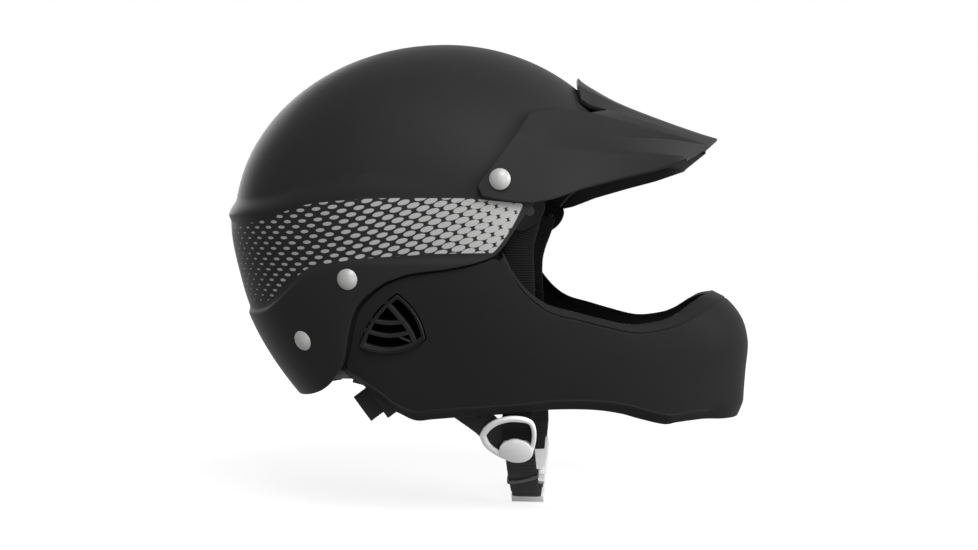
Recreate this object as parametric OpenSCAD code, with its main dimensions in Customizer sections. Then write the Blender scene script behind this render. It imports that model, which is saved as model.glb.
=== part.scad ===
// Kayak helmet with a full face guard and a tilting visor.
// X points forward, Y to the wearer's left, Z up. The origin is the centre of the head
// at brow height, where the wearer's head holds the helmet. All sizes are millimetres.

/* [Shell] */
// Height of the crown above the head centre
crown_z = 143.4; // [138:0.1:152]
// How far the crown lies forward of the head centre
crown_x = 34; // [26:1:40]
// Reach of the dome forward of the crown
dome_front = 137; // [132:1:146]
// Reach of the dome behind the crown
dome_rear = 148; // [144:1:156]
// Half of the shell's width
shell_half_w = 108; // [104:0.5:112]
// Wall of the shell and of the guard
wall_t = 3.5; // [3:0.1:4]
// Height of the rear ridge over the dome
ridge_h = 4.2; // [2:0.1:6]
// Height of the lower flare over the side band
flare_h = 2.6; // [1.5:0.1:3.5]
// Lowest level of the rear lobe
lobe_z = -99; // [-106:1:-94]

/* [Chin guard] */
// How far the guard reaches forward of the head centre
guard_reach = 243.8; // [236:0.1:252]
// Level of the guard's lower front edge
guard_low_z = -114; // [-120:1:-110]
// How far the guard is drawn in where it tucks under the shell
guard_tuck = 2.2; // [1.8:0.1:2.8]
// Width of the chamfer along the eye port and the lower edge
bead_w = 6; // [4:0.5:8]

/* [Visor] */
// Distance of the visor pivot forward of the head centre
pivot_x = 84; // [80:0.5:88]
// Height of the visor pivot
pivot_z = 45; // [42:0.5:48]
// Thickness of the visor
visor_t = 2.4; // [2:0.1:3]
// Gap between the visor and the dome
visor_gap = 2.8; // [2.2:0.1:3.5]
// How far the visor's tip reaches forward of the head centre
visor_tip_x = 222.9; // [214:0.1:230]
// Half width of the visor at its front corners
visor_corner_y = 66; // [58:1:72]

/* [Fasteners] */
// Diameter of the domed post heads
cap_d = 13.6; // [12:0.1:15]
// Height of the domed post heads
cap_h = 3; // [2.4:0.1:3.6]
// Diameter of the guard posts
post_d = 5; // [4.5:0.1:5.5]
// Diameter of the visor posts
visor_post_d = 6; // [5.5:0.1:6.5]
// Diameter of the screws inside the posts
screw_d = 3; // [2.5:0.1:3.4]
// Diameter of the inner screw heads
screw_head_d = 8; // [7:0.1:9]
// Height of the inner screw heads
screw_head_h = 1.6; // [1.2:0.1:2]
// Diameter of the inner washers
washer_d = 12; // [10:0.1:13]
// Thickness of the inner washers
washer_t = 1; // [0.8:0.1:1.4]

/* [Padding] */
// Thickness of the foam liner
liner_t = 12; // [8:0.5:14]
// Thickness of the comfort pads
pad_t = 8; // [5:0.5:10]

/* [Straps] */
// Width of the webbing
web_w = 20; // [18:0.5:21]
// Thickness of the webbing
web_t = 1.8; // [1.4:0.1:2]
// Diameter of the round caps on the strap rings
disc_d = 22.5; // [20:0.1:24]
// Thickness of the strap rings
ring_t = 3; // [2.4:0.1:3.4]
// Diameter of the strap ring pivot pins
ring_pin_d = 6; // [5:0.1:7]

/* [Buckle] */
// Plastic at each side of the webbing in the buckle
buckle_side = 1.3; // [1.1:0.1:2.2]
// Thickness of the buckle
buckle_t = 8.4; // [8:0.1:9]
// Length of the closed buckle
buckle_l = 56; // [54:1:60]
// Wall of the buckle's female half
buckle_wall = 1.5; // [1.3:0.1:1.7]

/* [Hidden] */
$fn = 48;

black = "#262626";
black_soft = "#1c1c1c";
silver = "#c8cac6";
white = "#d6d6d8";
grey = "#4a4a4a";

// General functions

function clamp(v, a, b) = max(a, min(b, v));
function mix(a, b, t) = a + (b - a) * t;
function ease(t) = let (c = clamp(t, 0, 1)) c * c * (3 - 2 * c);
function unit(v) = v / norm(v);
function mirrored(p) = [p[0], -p[1], p[2]];

// A smooth line through a short list of [x, y] points
function part_of(t, x, i = 0) = i >= len(t) - 2 || x < t[i + 1][0] ? i : part_of(t, x, i + 1);
function slope_at(t, i) =
    let (a = max(i - 1, 0), b = min(i + 1, len(t) - 1)) (t[b][1] - t[a][1]) / (t[b][0] - t[a][0]);
function along(t, x) =
    let (v = clamp(x, t[0][0], t[len(t) - 1][0]), i = part_of(t, v), h = t[i + 1][0] - t[i][0],
         u = (v - t[i][0]) / h, m0 = slope_at(t, i) * h, m1 = slope_at(t, i + 1) * h)
    (2 * u * u * u - 3 * u * u + 1) * t[i][1] + (u * u * u - 2 * u * u + u) * m0
    + (3 * u * u - 2 * u * u * u) * t[i + 1][1] + (u * u * u - u * u) * m1;

// A smooth curve through points, with n steps between each pair
function curve_point(p, i, u) =
    let (a = p[max(i - 1, 0)], b = p[i], c = p[i + 1], d = p[min(i + 2, len(p) - 1)])
    0.5 * (2 * b + (c - a) * u + (2 * a - 5 * b + 4 * c - d) * u * u
           + (3 * b - a - 3 * c + d) * u * u * u);
function curve(p, n) =
    concat([for (i = [0:len(p) - 2]) for (k = [0:n - 1]) curve_point(p, i, k / n)],
           [p[len(p) - 1]]);

// A wall between two grids of points: outer[i][j] and inner[i][j]. Cells outside keep stay open.
function cell_kept(keep, i, j, ni, nj) =
    i >= 0 && j >= 0 && i < ni - 1 && j < nj - 1 && (keep == undef || keep[i][j] == 1);
function quad(a, b, c, d, flip) = flip ? [[a, c, b], [a, d, c]] : [[a, b, c], [a, c, d]];
function flat(l) = [for (a = l) for (b = a) b];

module wall_of(outer, inner, keep = undef, flip = false) {
    ni = len(outer);
    nj = len(outer[0]);
    shift = ni * nj;
    cells = [for (i = [0:ni - 2]) for (j = [0:nj - 2]) if (cell_kept(keep, i, j, ni, nj)) [i, j]];
    polyhedron(
        points = concat(flat(outer), flat(inner)),
        faces = [for (c = cells) let (i = c[0], j = c[1], a = i * nj + j, b = a + 1,
                                      d = a + nj, e = d + 1)
            each concat(
                quad(a, b, e, d, flip),
                quad(shift + a, shift + d, shift + e, shift + b, flip),
                cell_kept(keep, i - 1, j, ni, nj) ? [] : quad(a, shift + a, shift + b, b, flip),
                cell_kept(keep, i + 1, j, ni, nj) ? [] : quad(d, e, shift + e, shift + d, flip),
                cell_kept(keep, i, j - 1, ni, nj) ? [] : quad(a, d, shift + d, shift + a, flip),
                cell_kept(keep, i, j + 1, ni, nj) ? [] : quad(b, shift + b, shift + e, e, flip))],
        convexity = 10);
}

// A closed ring of columns with a pole on top: outer[row][column], the last row nearest the pole
module capped_wall(outer, inner, pole_out, pole_in) {
    nr = len(outer);
    nc = len(outer[0]);
    shift = nr * nc;
    top = (nr - 1) * nc;
    out_pole = 2 * shift;
    polyhedron(
        points = concat(flat(outer), flat(inner), [pole_out, pole_in]),
        faces = [
            for (i = [0:nr - 2]) for (j = [0:nc - 1])
                let (k = (j + 1) % nc, a = i * nc + j, b = i * nc + k, d = a + nc, e = b + nc)
                each concat(quad(a, d, e, b, false), quad(shift + a, shift + b, shift + e, shift + d,
                                                         false)),
            for (j = [0:nc - 1]) let (k = (j + 1) % nc)
                each concat(quad(j, k, shift + k, shift + j, false),
                            [[top + j, out_pole, top + k],
                             [shift + top + j, shift + top + k, out_pole + 1]])],
        convexity = 10);
}

// Turn a shape's +Z to the direction n, at the point p
module facing(p, n) {
    u = unit(n);
    translate(p) rotate([0, acos(u[2]), atan2(u[1], u[0])]) children();
}

// The shape of the shell: level slices, each a rounded oval with its own front, rear and width

mid_x = 12;
dome_z0 = 20;
brow_z = 95;
brow_tuck = 8.1;
lobe_draw = 48.5;
side_draw = 20;
side_z = 10;

function dome_t(z) = clamp((z - dome_z0) / (crown_z - dome_z0), 0, 1);
function dome_k(z) = sqrt(max(0, 1 - pow(dome_t(z), 2)));
function shell_front(z) =
    crown_x + dome_front * dome_k(z) - brow_tuck * pow(max(0, brow_z - max(z, 40)) / 45, 2);
function shell_rear(z) =
    crown_x - dome_rear * dome_k(z)
    + lobe_draw * pow(max(0, dome_z0 - z) / (dome_z0 - lobe_z), 2.2);
function shell_mid(z) = mid_x + (crown_x - mid_x) * pow(dome_t(z), 2);
function shell_half(z) =
    shell_half_w * pow(max(0, 1 - pow(dome_t(z), 2.2)), 1 / 2.2)
    - side_draw * pow(max(0, side_z - z) / (side_z - lobe_z), 1.6);
function front_power(z) = mix(2.6, 2.05, ease((z - 30) / 70));
rear_power = 2.3;

// The ridge over the side band and the crease under it, as heights by x
ridge_line = [[-121, 26], [-100, 24], [-71, 25], [-42, 32], [-6, 38.6], [14, 38.4], [43, 35],
              [70, 32.7], [98, 30]];
crease_line = [[-110, -38], [-85, -38], [-74, -35], [-58, -24], [-45, -13], [-30, -7.5],
               [-14, -4.4], [20, -4], [80, -2.8]];

function ridge_rise(x, z) =
    let (s = z - along(ridge_line, x), fade = 1 - ease((x + 100) / 170))
    ridge_h * fade * (s >= 0 ? 1 - ease(s / 12)
                      : s > -5 ? mix(1, 0.62, ease(-s / 5)) : 0.62 * (1 - ease((-s - 5) / 40)));
function flare_rise(x, z) =
    flare_h * ease((along(crease_line, x) - z) / 6) * (1 - 0.6 * ease((x - 20) / 80));
function shell_rise(x, z) = ridge_rise(x, z) + flare_rise(x, z);

// A point of a level slice at the turn phi (0 is front, 180 is rear, positive is left)
function oval(phi, z, front, rear, mid, half, n_front, rise) =
    let (c = cos(phi), s = sin(phi), n = c > 0 ? n_front : rear_power,
         a = c > 0 ? front - mid : mid - rear, cx = sign(c) * pow(abs(c), 2 / n),
         sy = sign(s) * pow(abs(s), 2 / n), x0 = mid + a * cx,
         r = rise ? shell_rise(x0, z) : 0)
    [mid + (a + r) * cx, (half + r) * sy, z];
function dome_point(phi, z, rise = true) =
    oval(phi, z, shell_front(z), shell_rear(z), shell_mid(z), shell_half(z), front_power(z), rise);
function turn_at(x, z, front, rear, mid, n_front) =
    let (a = x > mid ? front - mid : mid - rear, q = clamp((x - mid) / a, -1, 1),
         n = x > mid ? n_front : rear_power)
    acos(sign(q) * pow(abs(q), n / 2));
function dome_turn(x, z) =
    turn_at(x, z, shell_front(z), shell_rear(z), shell_mid(z), front_power(z));
function dome_normal(phi, z) =
    unit(cross(dome_point(phi + 1, z, false) - dome_point(phi - 1, z, false),
               dome_point(phi, z, false) - dome_point(phi, z - 1, false)));
function dome_inside(phi, z, d, rise = true) = dome_point(phi, z, rise) - d * dome_normal(phi, z);
// A point over the left side of the dome, at x and z, raised by d
function on_dome(x, z, d) = dome_inside(dome_turn(x, z), z, -d);

// Lower edge of the shell, as x and z from the front centre to the rear centre
far = 999;
shell_edge = [[far, 52], [157, 52], [151, 52], [136, 50.5], [120, 43.5], [107, 32], [98.9, 22.4],
              [91, 10], [84.1, 0], [77.9, -4.7], [64.5, -9.1], [48.4, -12.3], [25.9, -15.3],
              [8.8, -21.7], [-3.7, -31], [-10.2, -40], [-14.2, -51.6], [-17.3, -66.4],
              [-20.8, -76.4], [-28, -86], [-36, lobe_z + 6.5],
              [-46, lobe_z + 2.5], [-56, lobe_z + 0.6], [-61, lobe_z + 0.2], [-64.4, lobe_z], [-far, lobe_z]];
liner_edge = [[far, 58], [156, 58], [149, 58], [134, 56], [118, 49], [106, 42], [97, 34],
              [89, 25], [78, 14], [60, 9], [40, 6], [10, 4], [-10, 4], [-26, -2], [-38, -14],
              [-52, -30], [-66, -40], [-78, -49], [-86, -54.5], [-90.5, -57.5],
              [-93.2, -59.5], [-far, -60]];

function edge_columns(edge, n) = curve([for (e = edge) [dome_turn(e[0], e[1]), e[1]]], n);
function all_columns(half) =
    concat(half, [for (j = [len(half) - 2:-1:1]) [-half[j][0], half[j][1]]]);

// Levels of one column of the shell, from its lower edge up, gathered at the crease and ridge
function rising(v, step, i = 0) =
    i >= len(v) ? [] : let (w = i == 0 ? v : [for (k = [0:len(v) - 1])
        k == i ? max(v[k], v[k - 1] + step) : v[k]]) i == len(v) - 1 ? w : rising(w, step, i + 1);
function shell_levels(c, dome_rows) =
    let (x = dome_point(c[0], 20, false)[0], ze = c[1], zc = along(crease_line, x),
         zr = along(ridge_line, x),
         low = rising([ze, mix(ze, zc - 7, 0.35), mix(ze, zc - 7, 0.7), zc - 7, zc - 1,
                       mix(zc, zr, 0.33), mix(zc, zr, 0.66), zr - 6, zr - 1, zr + 5, zr + 13], 1.2),
         zt = low[len(low) - 1])
    concat(low, [for (i = [1:dome_rows]) mix(zt, crown_z - 0.6, sin(90 * i / dome_rows))]);
function liner_levels(c, rows) =
    [for (i = [0:rows]) mix(c[1], crown_z - 0.6, sin(90 * i / rows))];

shell_cols = all_columns(edge_columns(shell_edge, 2));
liner_cols = all_columns(edge_columns(liner_edge, 1));

// Posts: each has a place on the left side and an axis that points out of the helmet

function post_axis(x, z) = dome_normal(dome_turn(x, z), z);
pivot_y = dome_point(dome_turn(pivot_x, pivot_z), pivot_z)[1];
boss_d = 17;
boss_out = pivot_y + visor_gap + visor_t + 2.2;
boss_in = pivot_y + visor_gap + 0.8;
seat_gap = 0.2;
mid_post = on_dome(-13.5, -18.4, seat_gap);
rear_post = on_dome(-46.5, -59, seat_gap);
mid_axis = post_axis(-13.5, -18.4);
rear_axis = post_axis(-46.5, -59);
fit_gap = 0.05;
loose_gap = 0.3;

// The walls that a guard post holds together, and the reach of each post's inner end
guard_grip = flare_h + guard_tuck + wall_t + 2.3;
visor_grip = boss_out - pivot_y + wall_t + 8;

module post_bores(d) {
    for (m = [0, 1]) mirror([0, m, 0]) {
        facing(mid_post, mid_axis) cylinder(d = d, h = 60, center = true);
        facing(rear_post, rear_axis) cylinder(d = d, h = 60, center = true);
    }
}

module outer_shell() {
    rows = 8;
    levels = [for (c = shell_cols) shell_levels(c, rows)];
    nr = len(levels[0]);
    outer = [for (i = [0:nr - 1]) [for (j = [0:len(shell_cols) - 1])
        dome_point(shell_cols[j][0], levels[j][i])]];
    inner = [for (i = [0:nr - 1]) [for (j = [0:len(shell_cols) - 1])
        dome_inside(shell_cols[j][0], levels[j][i], wall_t)]];
    color(black) difference() {
        capped_wall(outer, inner, [crown_x, 0, crown_z], [crown_x, 0, crown_z - wall_t]);
        post_bores(post_d + 2 * fit_gap);
        for (m = [0, 1]) mirror([0, m, 0])
            translate([pivot_x, pivot_y, pivot_z]) rotate([90, 0, 0])
                cylinder(d = visor_post_d + 2 * fit_gap, h = 40, center = true);
    }
}

// Foam liner, with pockets for the inner ends of the visor posts and the strap anchors
liner_off = wall_t + 0.9;

module foam_liner() {
    rows = 12;
    levels = [for (c = liner_cols) liner_levels(c, rows)];
    grid = function (d) [for (i = [0:rows]) [for (j = [0:len(liner_cols) - 1])
        dome_inside(liner_cols[j][0], levels[j][i], d, false)]];
    color(grey) difference() {
        capped_wall(grid(liner_off), grid(liner_off + liner_t),
                    [crown_x, 0, crown_z - liner_off], [crown_x, 0, crown_z - liner_off - liner_t]);
        for (m = [0, 1]) mirror([0, m, 0]) anchor_pocket();
    }
}

// A crowned pad on the inner side of a surface: phi and z limits, offset and thickness
function pad_fall(u, v) = 0.3 + 0.7 * pow(sin(180 * u) * sin(180 * v), 0.4);
module pad(phi0, phi1, z0, z1, off, t, nu = 10, nv = 6) {
    face = function (d, crowned) [for (i = [0:nv]) [for (j = [0:nu])
        let (phi = mix(phi0, phi1, j / nu), z = mix(z0, z1, i / nv),
             f = crowned ? pad_fall(clamp(j / nu, 0.001, 0.999), clamp(i / nv, 0.001, 0.999)) : 1)
        dome_inside(phi, z, d + (crowned ? t * f : 0), false)]];
    color(black_soft) wall_of(face(off, false), face(off, true), flip = true);
}

pad_off = liner_off + liner_t + 1.1;

module brow_pad() { pad(-38, 38, 62, 88, pad_off, pad_t, 14, 5); }
module rear_pad() { pad(142, 218, -45, 20, pad_off, pad_t, 12, 7); }
module side_pad_left() { pad(66, 112, 14, 66, pad_off, pad_t); }
module side_pad_right() { mirror([0, 1, 0]) side_pad_left(); }

module crown_pad() {
    rings = 4;
    cols = 22;
    edge_level = 128;
    level = function (i) mix(edge_level, crown_z - 0.6, sin(90 * i / rings));
    grid = function (d, t) [for (i = [0:rings]) [for (j = [0:cols - 1])
        dome_inside(360 * j / cols, level(i), d + 0.3 + t * (0.35 + 0.65 * sin(90 * i / rings)), false)]];
    color(black_soft)
        capped_wall(grid(pad_off, 0), grid(pad_off, pad_t), [crown_x, 0, crown_z - pad_off],
                    [crown_x, 0, crown_z - pad_off - pad_t]);
}

// Chin guard: the same kind of slices, carried forward to the chin

guard_nose = [[-116, 1.2], [-106, 2.8], [-84, 1.6], [-68.7, 0], [-61.6, 0], [-50, 2.5],
              [-42, 6.7], [-34, 13.6], [-27, 21.5], [-10, 36], [10, 48]];
guard_power = 2.2;
nose_level = -60;

function guard_front(z) = guard_reach - along(guard_nose, z);
function guard_half(z) = shell_half(z) - 0.5;
function guard_point(phi, z, inset = 0) =
    oval(phi, z, guard_front(z) - inset, shell_rear(z) + inset, mid_x, guard_half(z) - inset,
         guard_power, false);
function guard_turn(x, z = nose_level) =
    turn_at(x, z, guard_front(z), shell_rear(z), mid_x, guard_power);
function guard_normal(phi, z) =
    unit(cross(guard_point(phi + 1, z) - guard_point(phi - 1, z),
               guard_point(phi, z + 1) - guard_point(phi, z - 1)));

// Columns of the guard's left half, from the nose back. Each has the x of its top edge or, where
// the shell covers it, of the covered line, then the levels of its lower edge, of the covered
// line and of its top edge
low_shift = guard_low_z + 114;
chin_from = 132;
function chin_x(x) =
    x <= chin_from ? x : chin_from + (x - chin_from) * (guard_reach - chin_from) / 111.8;
open_rim = 60;
all_hidden = -200;
guard_half_cols = [
    [far, -114, open_rim, -27.2], [216, -113.5, open_rim, -29.5], [209, -112.6, open_rim, -33.5],
    [203.5, -113, open_rim, -37.4], [196, -114, open_rim, -42.3], [188.5, -115, open_rim, -45.3],
    [174, -110.9, open_rim, -47.9], [163, -107.5, open_rim, -47.3], [148, -105, open_rim, -43.8],
    [132, -104, open_rim, -39.5], [115, -104, open_rim, -34.8], [103.4, -104.5, open_rim, -26.9],
    [93.4, -105.3, open_rim, -15.2], [84.6, -106, 0, -0.6], [77.9, -106.8, -4.7, 1],
    [64.5, -108, -9.1, -1], [48.4, -109.5, -12.3, -8], [34, -111, -14.2, -10],
    [23, -111.8, -16, -11], [10, -105, -21.3, -12.5], [0, -99, -29.5, -13], [-8, -94.5, -39, -13],
    [-15, -88.5, -64, -13], [-20, -83.5, -82, -14], [-25, -79.5, all_hidden, -18],
    [-33, -77, all_hidden, -30], [-42, -75, all_hidden, -40], [-50, -73, all_hidden, -45],
    [-57, -70, all_hidden, -50]];

function column_level(c) = c[2] == open_rim ? c[3] : c[2] == all_hidden ? nose_level : c[2];
function guard_cols_left() =
    curve([for (c = guard_half_cols)
        [guard_turn(chin_x(c[0]), column_level(c)), c[1] + low_shift, c[2], c[3],
         min(c[0], 220)]], 2);
function guard_cols() =
    let (h = guard_cols_left())
    concat([for (j = [len(h) - 1:-1:1]) [-h[j][0], h[j][1], h[j][2], h[j][3], h[j][4]]], h);

function guard_levels(c) =
    let (zb = c[1], zt = c[3], zq = clamp(c[2], zb + 13, zt - (c[2] > 0 ? bead_w + 2 : 4)))
    [zb, zb + 4, zb + 8, for (k = [0.25, 0.5, 0.75]) mix(zb + 8, zq - 4, k), zq - 4, zq - 1,
     zq + 2, zt];
// How far the wall stands in from the flush surface: the tuck, and the chamfer at each edge
function guard_tuck_at(x) = guard_tuck + 3.4 * pow(clamp((x - mid_x) / 72, 0, 1), 2);
function guard_inset(c, z) =
    let (open_part = ease((c[4] - 84) / 10), tuck = (1 - open_part) * guard_tuck_at(c[4]))
    tuck * (c[2] < all_hidden / 2 ? 1 : ease((z - c[2] + 4) / 3))
    + 3 * open_part * ease((z - c[3] + bead_w) / bead_w)
    + (c[4] > -22 ? 4.5 * (1 - ease((z - c[1]) / (bead_w + 2))) : 0);

// Vent: a curved triangle, each side an arc, set by its three corners and the bulge of its sides
vent_top = [17.6, -27];
vent_front = [35.5, -57];
vent_rear = [-8.5, -62];
vent_bulge = [4, 6.7, 3.8];
vent_tilt = 11;

function arc_r(a, b, s) = let (c = norm(b - a)) c * c / (8 * s) + s / 2;
function arc_mid(a, b, s) =
    let (r = arc_r(a, b, s), d = (b - a) / norm(b - a)) (a + b) / 2 + (r - s) * [d[1], -d[0]];

// Corners run clockwise, so that each arc bulges outward
module arc_triangle(a, b, c, bulge, inset) {
    intersection() {
        translate(arc_mid(a, b, bulge[0])) circle(r = arc_r(a, b, bulge[0]) - inset, $fn = 96);
        translate(arc_mid(b, c, bulge[1])) circle(r = arc_r(b, c, bulge[1]) - inset, $fn = 96);
        translate(arc_mid(c, a, bulge[2])) circle(r = arc_r(c, a, bulge[2]) - inset, $fn = 96);
    }
}
module vent_outline(inset) { arc_triangle(vent_top, vent_front, vent_rear, vent_bulge, inset); }

// The vent's flat frame stands on the left wall: local x is forward, local y up, local z outward
vent_mid_z = -47;
vent_y = guard_point(guard_turn(14), vent_mid_z)[1];
module on_vent() {
    translate([0, vent_y, vent_mid_z]) rotate([90 - vent_tilt, 0, 0]) mirror([0, 0, 1])
        translate([0, -vent_mid_z, 0]) children();
}
grille_gap = 0.25;

module chin_guard() {
    cols = guard_cols();
    levels = [for (c = cols) guard_levels(c)];
    outer = [for (j = [0:len(cols) - 1]) [for (z = levels[j])
        guard_point(cols[j][0], z, guard_inset(cols[j], z))]];
    inner = [for (j = [0:len(cols) - 1]) [for (z = levels[j])
        guard_point(cols[j][0], z, guard_inset(cols[j], z)) - wall_t * guard_normal(cols[j][0], z)]];
    color(black) difference() {
        wall_of(outer, inner);
        post_bores(post_d + 2 * fit_gap);
        for (m = [0, 1]) mirror([0, m, 0]) on_vent()
            translate([0, 0, -15]) linear_extrude(30) vent_outline(-grille_gap);
    }
}

grille_t = 4.6;
grille_frame = 4.6;
louvre_t = 2.6;

module vent_grille_left() {
    color(black) on_vent() {
        translate([0, 0, 0.6 - grille_t]) linear_extrude(grille_t) difference() {
            vent_outline(0);
            vent_outline(grille_frame);
        }
        translate([0, 0, -2.6]) linear_extrude(1.8) intersection() {
            vent_outline(1);
            union() {
                translate([23.3, -47.2]) rotate(-53) square([44, 3.2], center = true);
                for (z = [-44, -54]) difference() {
                    translate([4, z + 22]) circle(r = 24, $fn = 96);
                    translate([4, z + 22]) circle(r = 24 - louvre_t, $fn = 96);
                    translate([-40, z + 3]) square([90, 60]);
                    translate([24, -47]) rotate(37) translate([0, -50]) square([60, 100]);
                }
            }
        }
    }
}
module vent_grille_right() { mirror([0, 1, 0]) vent_grille_left(); }

// Pads inside the guard
module guard_pad(phi0, phi1, z0, z1, t, nu, nv) {
    off = wall_t + 0.8;
    face = function (crowned) [for (i = [0:nv]) [for (j = [0:nu])
        let (phi = mix(phi0, phi1, j / nu), z = mix(z0, z1, i / nv),
             f = crowned ? pad_fall(clamp(j / nu, 0.001, 0.999), clamp(i / nv, 0.001, 0.999)) : 0)
        guard_point(phi, z) - (off + t * f) * guard_normal(phi, z)]];
    color(black_soft) wall_of(face(false), face(true), flip = true);
}
module cheek_pad_left() {
    guard_pad(guard_turn(80), guard_turn(41), -77, -20, pad_t + 6, 8, 6);
}
module cheek_pad_right() { mirror([0, 1, 0]) cheek_pad_left(); }
module chin_pad() { guard_pad(-24, 24, -98, -71, pad_t, 12, 5); }

// Visor: feature lines from its lower edge to its centre, each with stations from rear to front

module visor() {
    hug = visor_gap + visor_t;
    corner = function (x, z) on_dome(x, z, hug);
    ear_y = shell_half_w - 7.5;
    spread = function (l) [for (p = l) [p[0], p[1] * shell_half_w / 108, p[2]]];
    dx = visor_tip_x - 222.9;
    cy = visor_corner_y;
    side = function (x) mix(ear_y, cy, (x - 103) / 98);
    edge = [corner(72, 34), corner(85, 31.5), [103, ear_y, 30.3], [117, side(117), 33.2],
            [135, side(135), 40], [158, side(158), 46.5], [180, side(180), 52.3],
            [201 + dx, cy, 59.5]];
    crease = [corner(94, 74), corner(98.5, 69.5), [104, ear_y - 8, 65.5], [118, ear_y - 13, 65],
              [137, ear_y - 18, 64.5], [160, 76, 64], [181, 69.5, 63.2], [202.7 + dx, cy - 5, 61]];
    lines = [
        edge,
        [corner(69.2, 40.5), corner(88, 41), for (j = [2:7]) mix(edge[j], crease[j], 0.25)],
        crease,
        concat([corner(98.5, 86), corner(106, 88), corner(113, 89), corner(120, 89.5)],
               spread([[138, 55, 91], [158, 42, 88.5], [184, 30, 81], [215.9 + dx, 21, 71.4]])),
        concat([corner(101, 94), corner(110, 98)],
               spread([[131, 38, 101.5], [137, 37, 97.5], [148.5, 35, 94.5], [161, 33, 90.5],
                       [186, 24, 83.5], [217.9 + dx, 15, 73]])),
        concat([corner(104, 110), corner(112, 112)],
               spread([[128, 22, 113], [138.5, 20, 107.5], [150, 19, 102], [164, 17, 96],
                       [188, 13, 87], [220.2 + dx, 8, 74.9]])),
        [[108, 0, 127], [116, 0, 123], [126.4, 0, 120.4], [137, 0, 114], [150, 0, 105.2],
         [165, 0, 98.4], [189, 0, 89.1], [222.9 + dx, 0, 77]]];
    rows = concat(lines, [for (i = [len(lines) - 2:-1:0]) [for (p = lines[i]) mirrored(p)]]);
    ni = len(rows);
    nj = len(rows[0]);
    // The brim starts at the shoulder, and the centre scoop is open behind
    first_cell = [0, 0, 0, 4, 2, 2, 2, 2, 4, 0, 0, 0];
    keep = [for (i = [0:ni - 2]) [for (j = [0:nj - 2]) j >= first_cell[i] ? 1 : 0]];
    under = [for (i = [0:ni - 1]) [for (j = [0:nj - 1])
        let (a = rows[max(i - 1, 0)][j], b = rows[min(i + 1, ni - 1)][j],
             c = rows[i][max(j - 1, 0)], d = rows[i][min(j + 1, nj - 1)])
        rows[i][j] + visor_t * unit(cross(d - c, b - a))]];
    color(black) difference() {
        union() {
            wall_of(rows, under, keep);
            for (m = [0, 1]) mirror([0, m, 0])
                translate([pivot_x, boss_in, pivot_z]) rotate([-90, 0, 0])
                    cylinder(d = boss_d, h = boss_out - boss_in);
        }
        for (m = [0, 1]) mirror([0, m, 0])
            translate([pivot_x, pivot_y, pivot_z]) rotate([90, 0, 0])
                cylinder(d = visor_post_d + 2 * fit_gap, h = 40, center = true);
    }
}

// Posts with domed heads: the head's flat underside is at z = 0, the post goes down
module post(d, grip) {
    cap_r = (cap_d * cap_d / 4 + cap_h * cap_h) / (2 * cap_h);
    color(silver) difference() {
        union() {
            intersection() {
                translate([0, 0, cap_h - cap_r]) sphere(r = cap_r, $fn = 64);
                cylinder(d = cap_d, h = cap_h + 1);
            }
            translate([0, 0, -grip]) cylinder(d = d, h = grip + 0.1);
        }
        translate([0, 0, -grip - 0.1]) cylinder(d = screw_d, h = grip - 0.4);
    }
}

module at_visor_post() {
    translate([pivot_x, boss_out + seat_gap, pivot_z]) rotate([-90, 0, 0]) children();
}
module at_mid_post() { facing(mid_post, mid_axis) children(); }
module at_rear_post() { facing(rear_post, rear_axis) children(); }

module visor_posts() {
    for (m = [0, 1]) mirror([0, m, 0]) at_visor_post() post(visor_post_d, visor_grip);
}
module guard_posts() {
    for (m = [0, 1]) mirror([0, m, 0]) {
        at_mid_post() post(post_d, guard_grip);
        at_rear_post() post(post_d, guard_grip);
    }
}
module inner_screw(grip) {
    color(silver) {
        translate([0, 0, -grip - washer_t - screw_head_h])
            cylinder(d = screw_head_d, h = screw_head_h);
        translate([0, 0, -grip - washer_t - 0.1])
            cylinder(d = screw_d - 2 * fit_gap, h = grip - 1);
    }
}
module post_screws() {
    for (m = [0, 1]) mirror([0, m, 0]) {
        at_visor_post() inner_screw(visor_grip);
        at_mid_post() inner_screw(guard_grip);
        at_rear_post() inner_screw(guard_grip);
    }
}
module washer(grip) {
    color(silver) translate([0, 0, -grip - washer_t]) difference() {
        cylinder(d = washer_d, h = washer_t);
        translate([0, 0, -1]) cylinder(d = screw_d + 0.2, h = washer_t + 2);
    }
}
module post_washers() {
    for (m = [0, 1]) mirror([0, m, 0]) {
        at_visor_post() washer(visor_grip);
        at_mid_post() washer(guard_grip);
        at_rear_post() washer(guard_grip);
    }
}

// Front strap anchor: a tab inside the shell, held by the visor post, with a screw at its tip
anchor_t = 2.2;
anchor_a = dome_inside(dome_turn(pivot_x, pivot_z), pivot_z, wall_t + 3.5);
anchor_b = dome_inside(dome_turn(104, 25.5), 25.5, wall_t + 4);
anchor_dir = unit(anchor_b - anchor_a);
anchor_out = unit(cross(cross(anchor_dir, [0, 1, 0]), anchor_dir));
anchor_ra = 8;
anchor_rb = 12;

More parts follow.
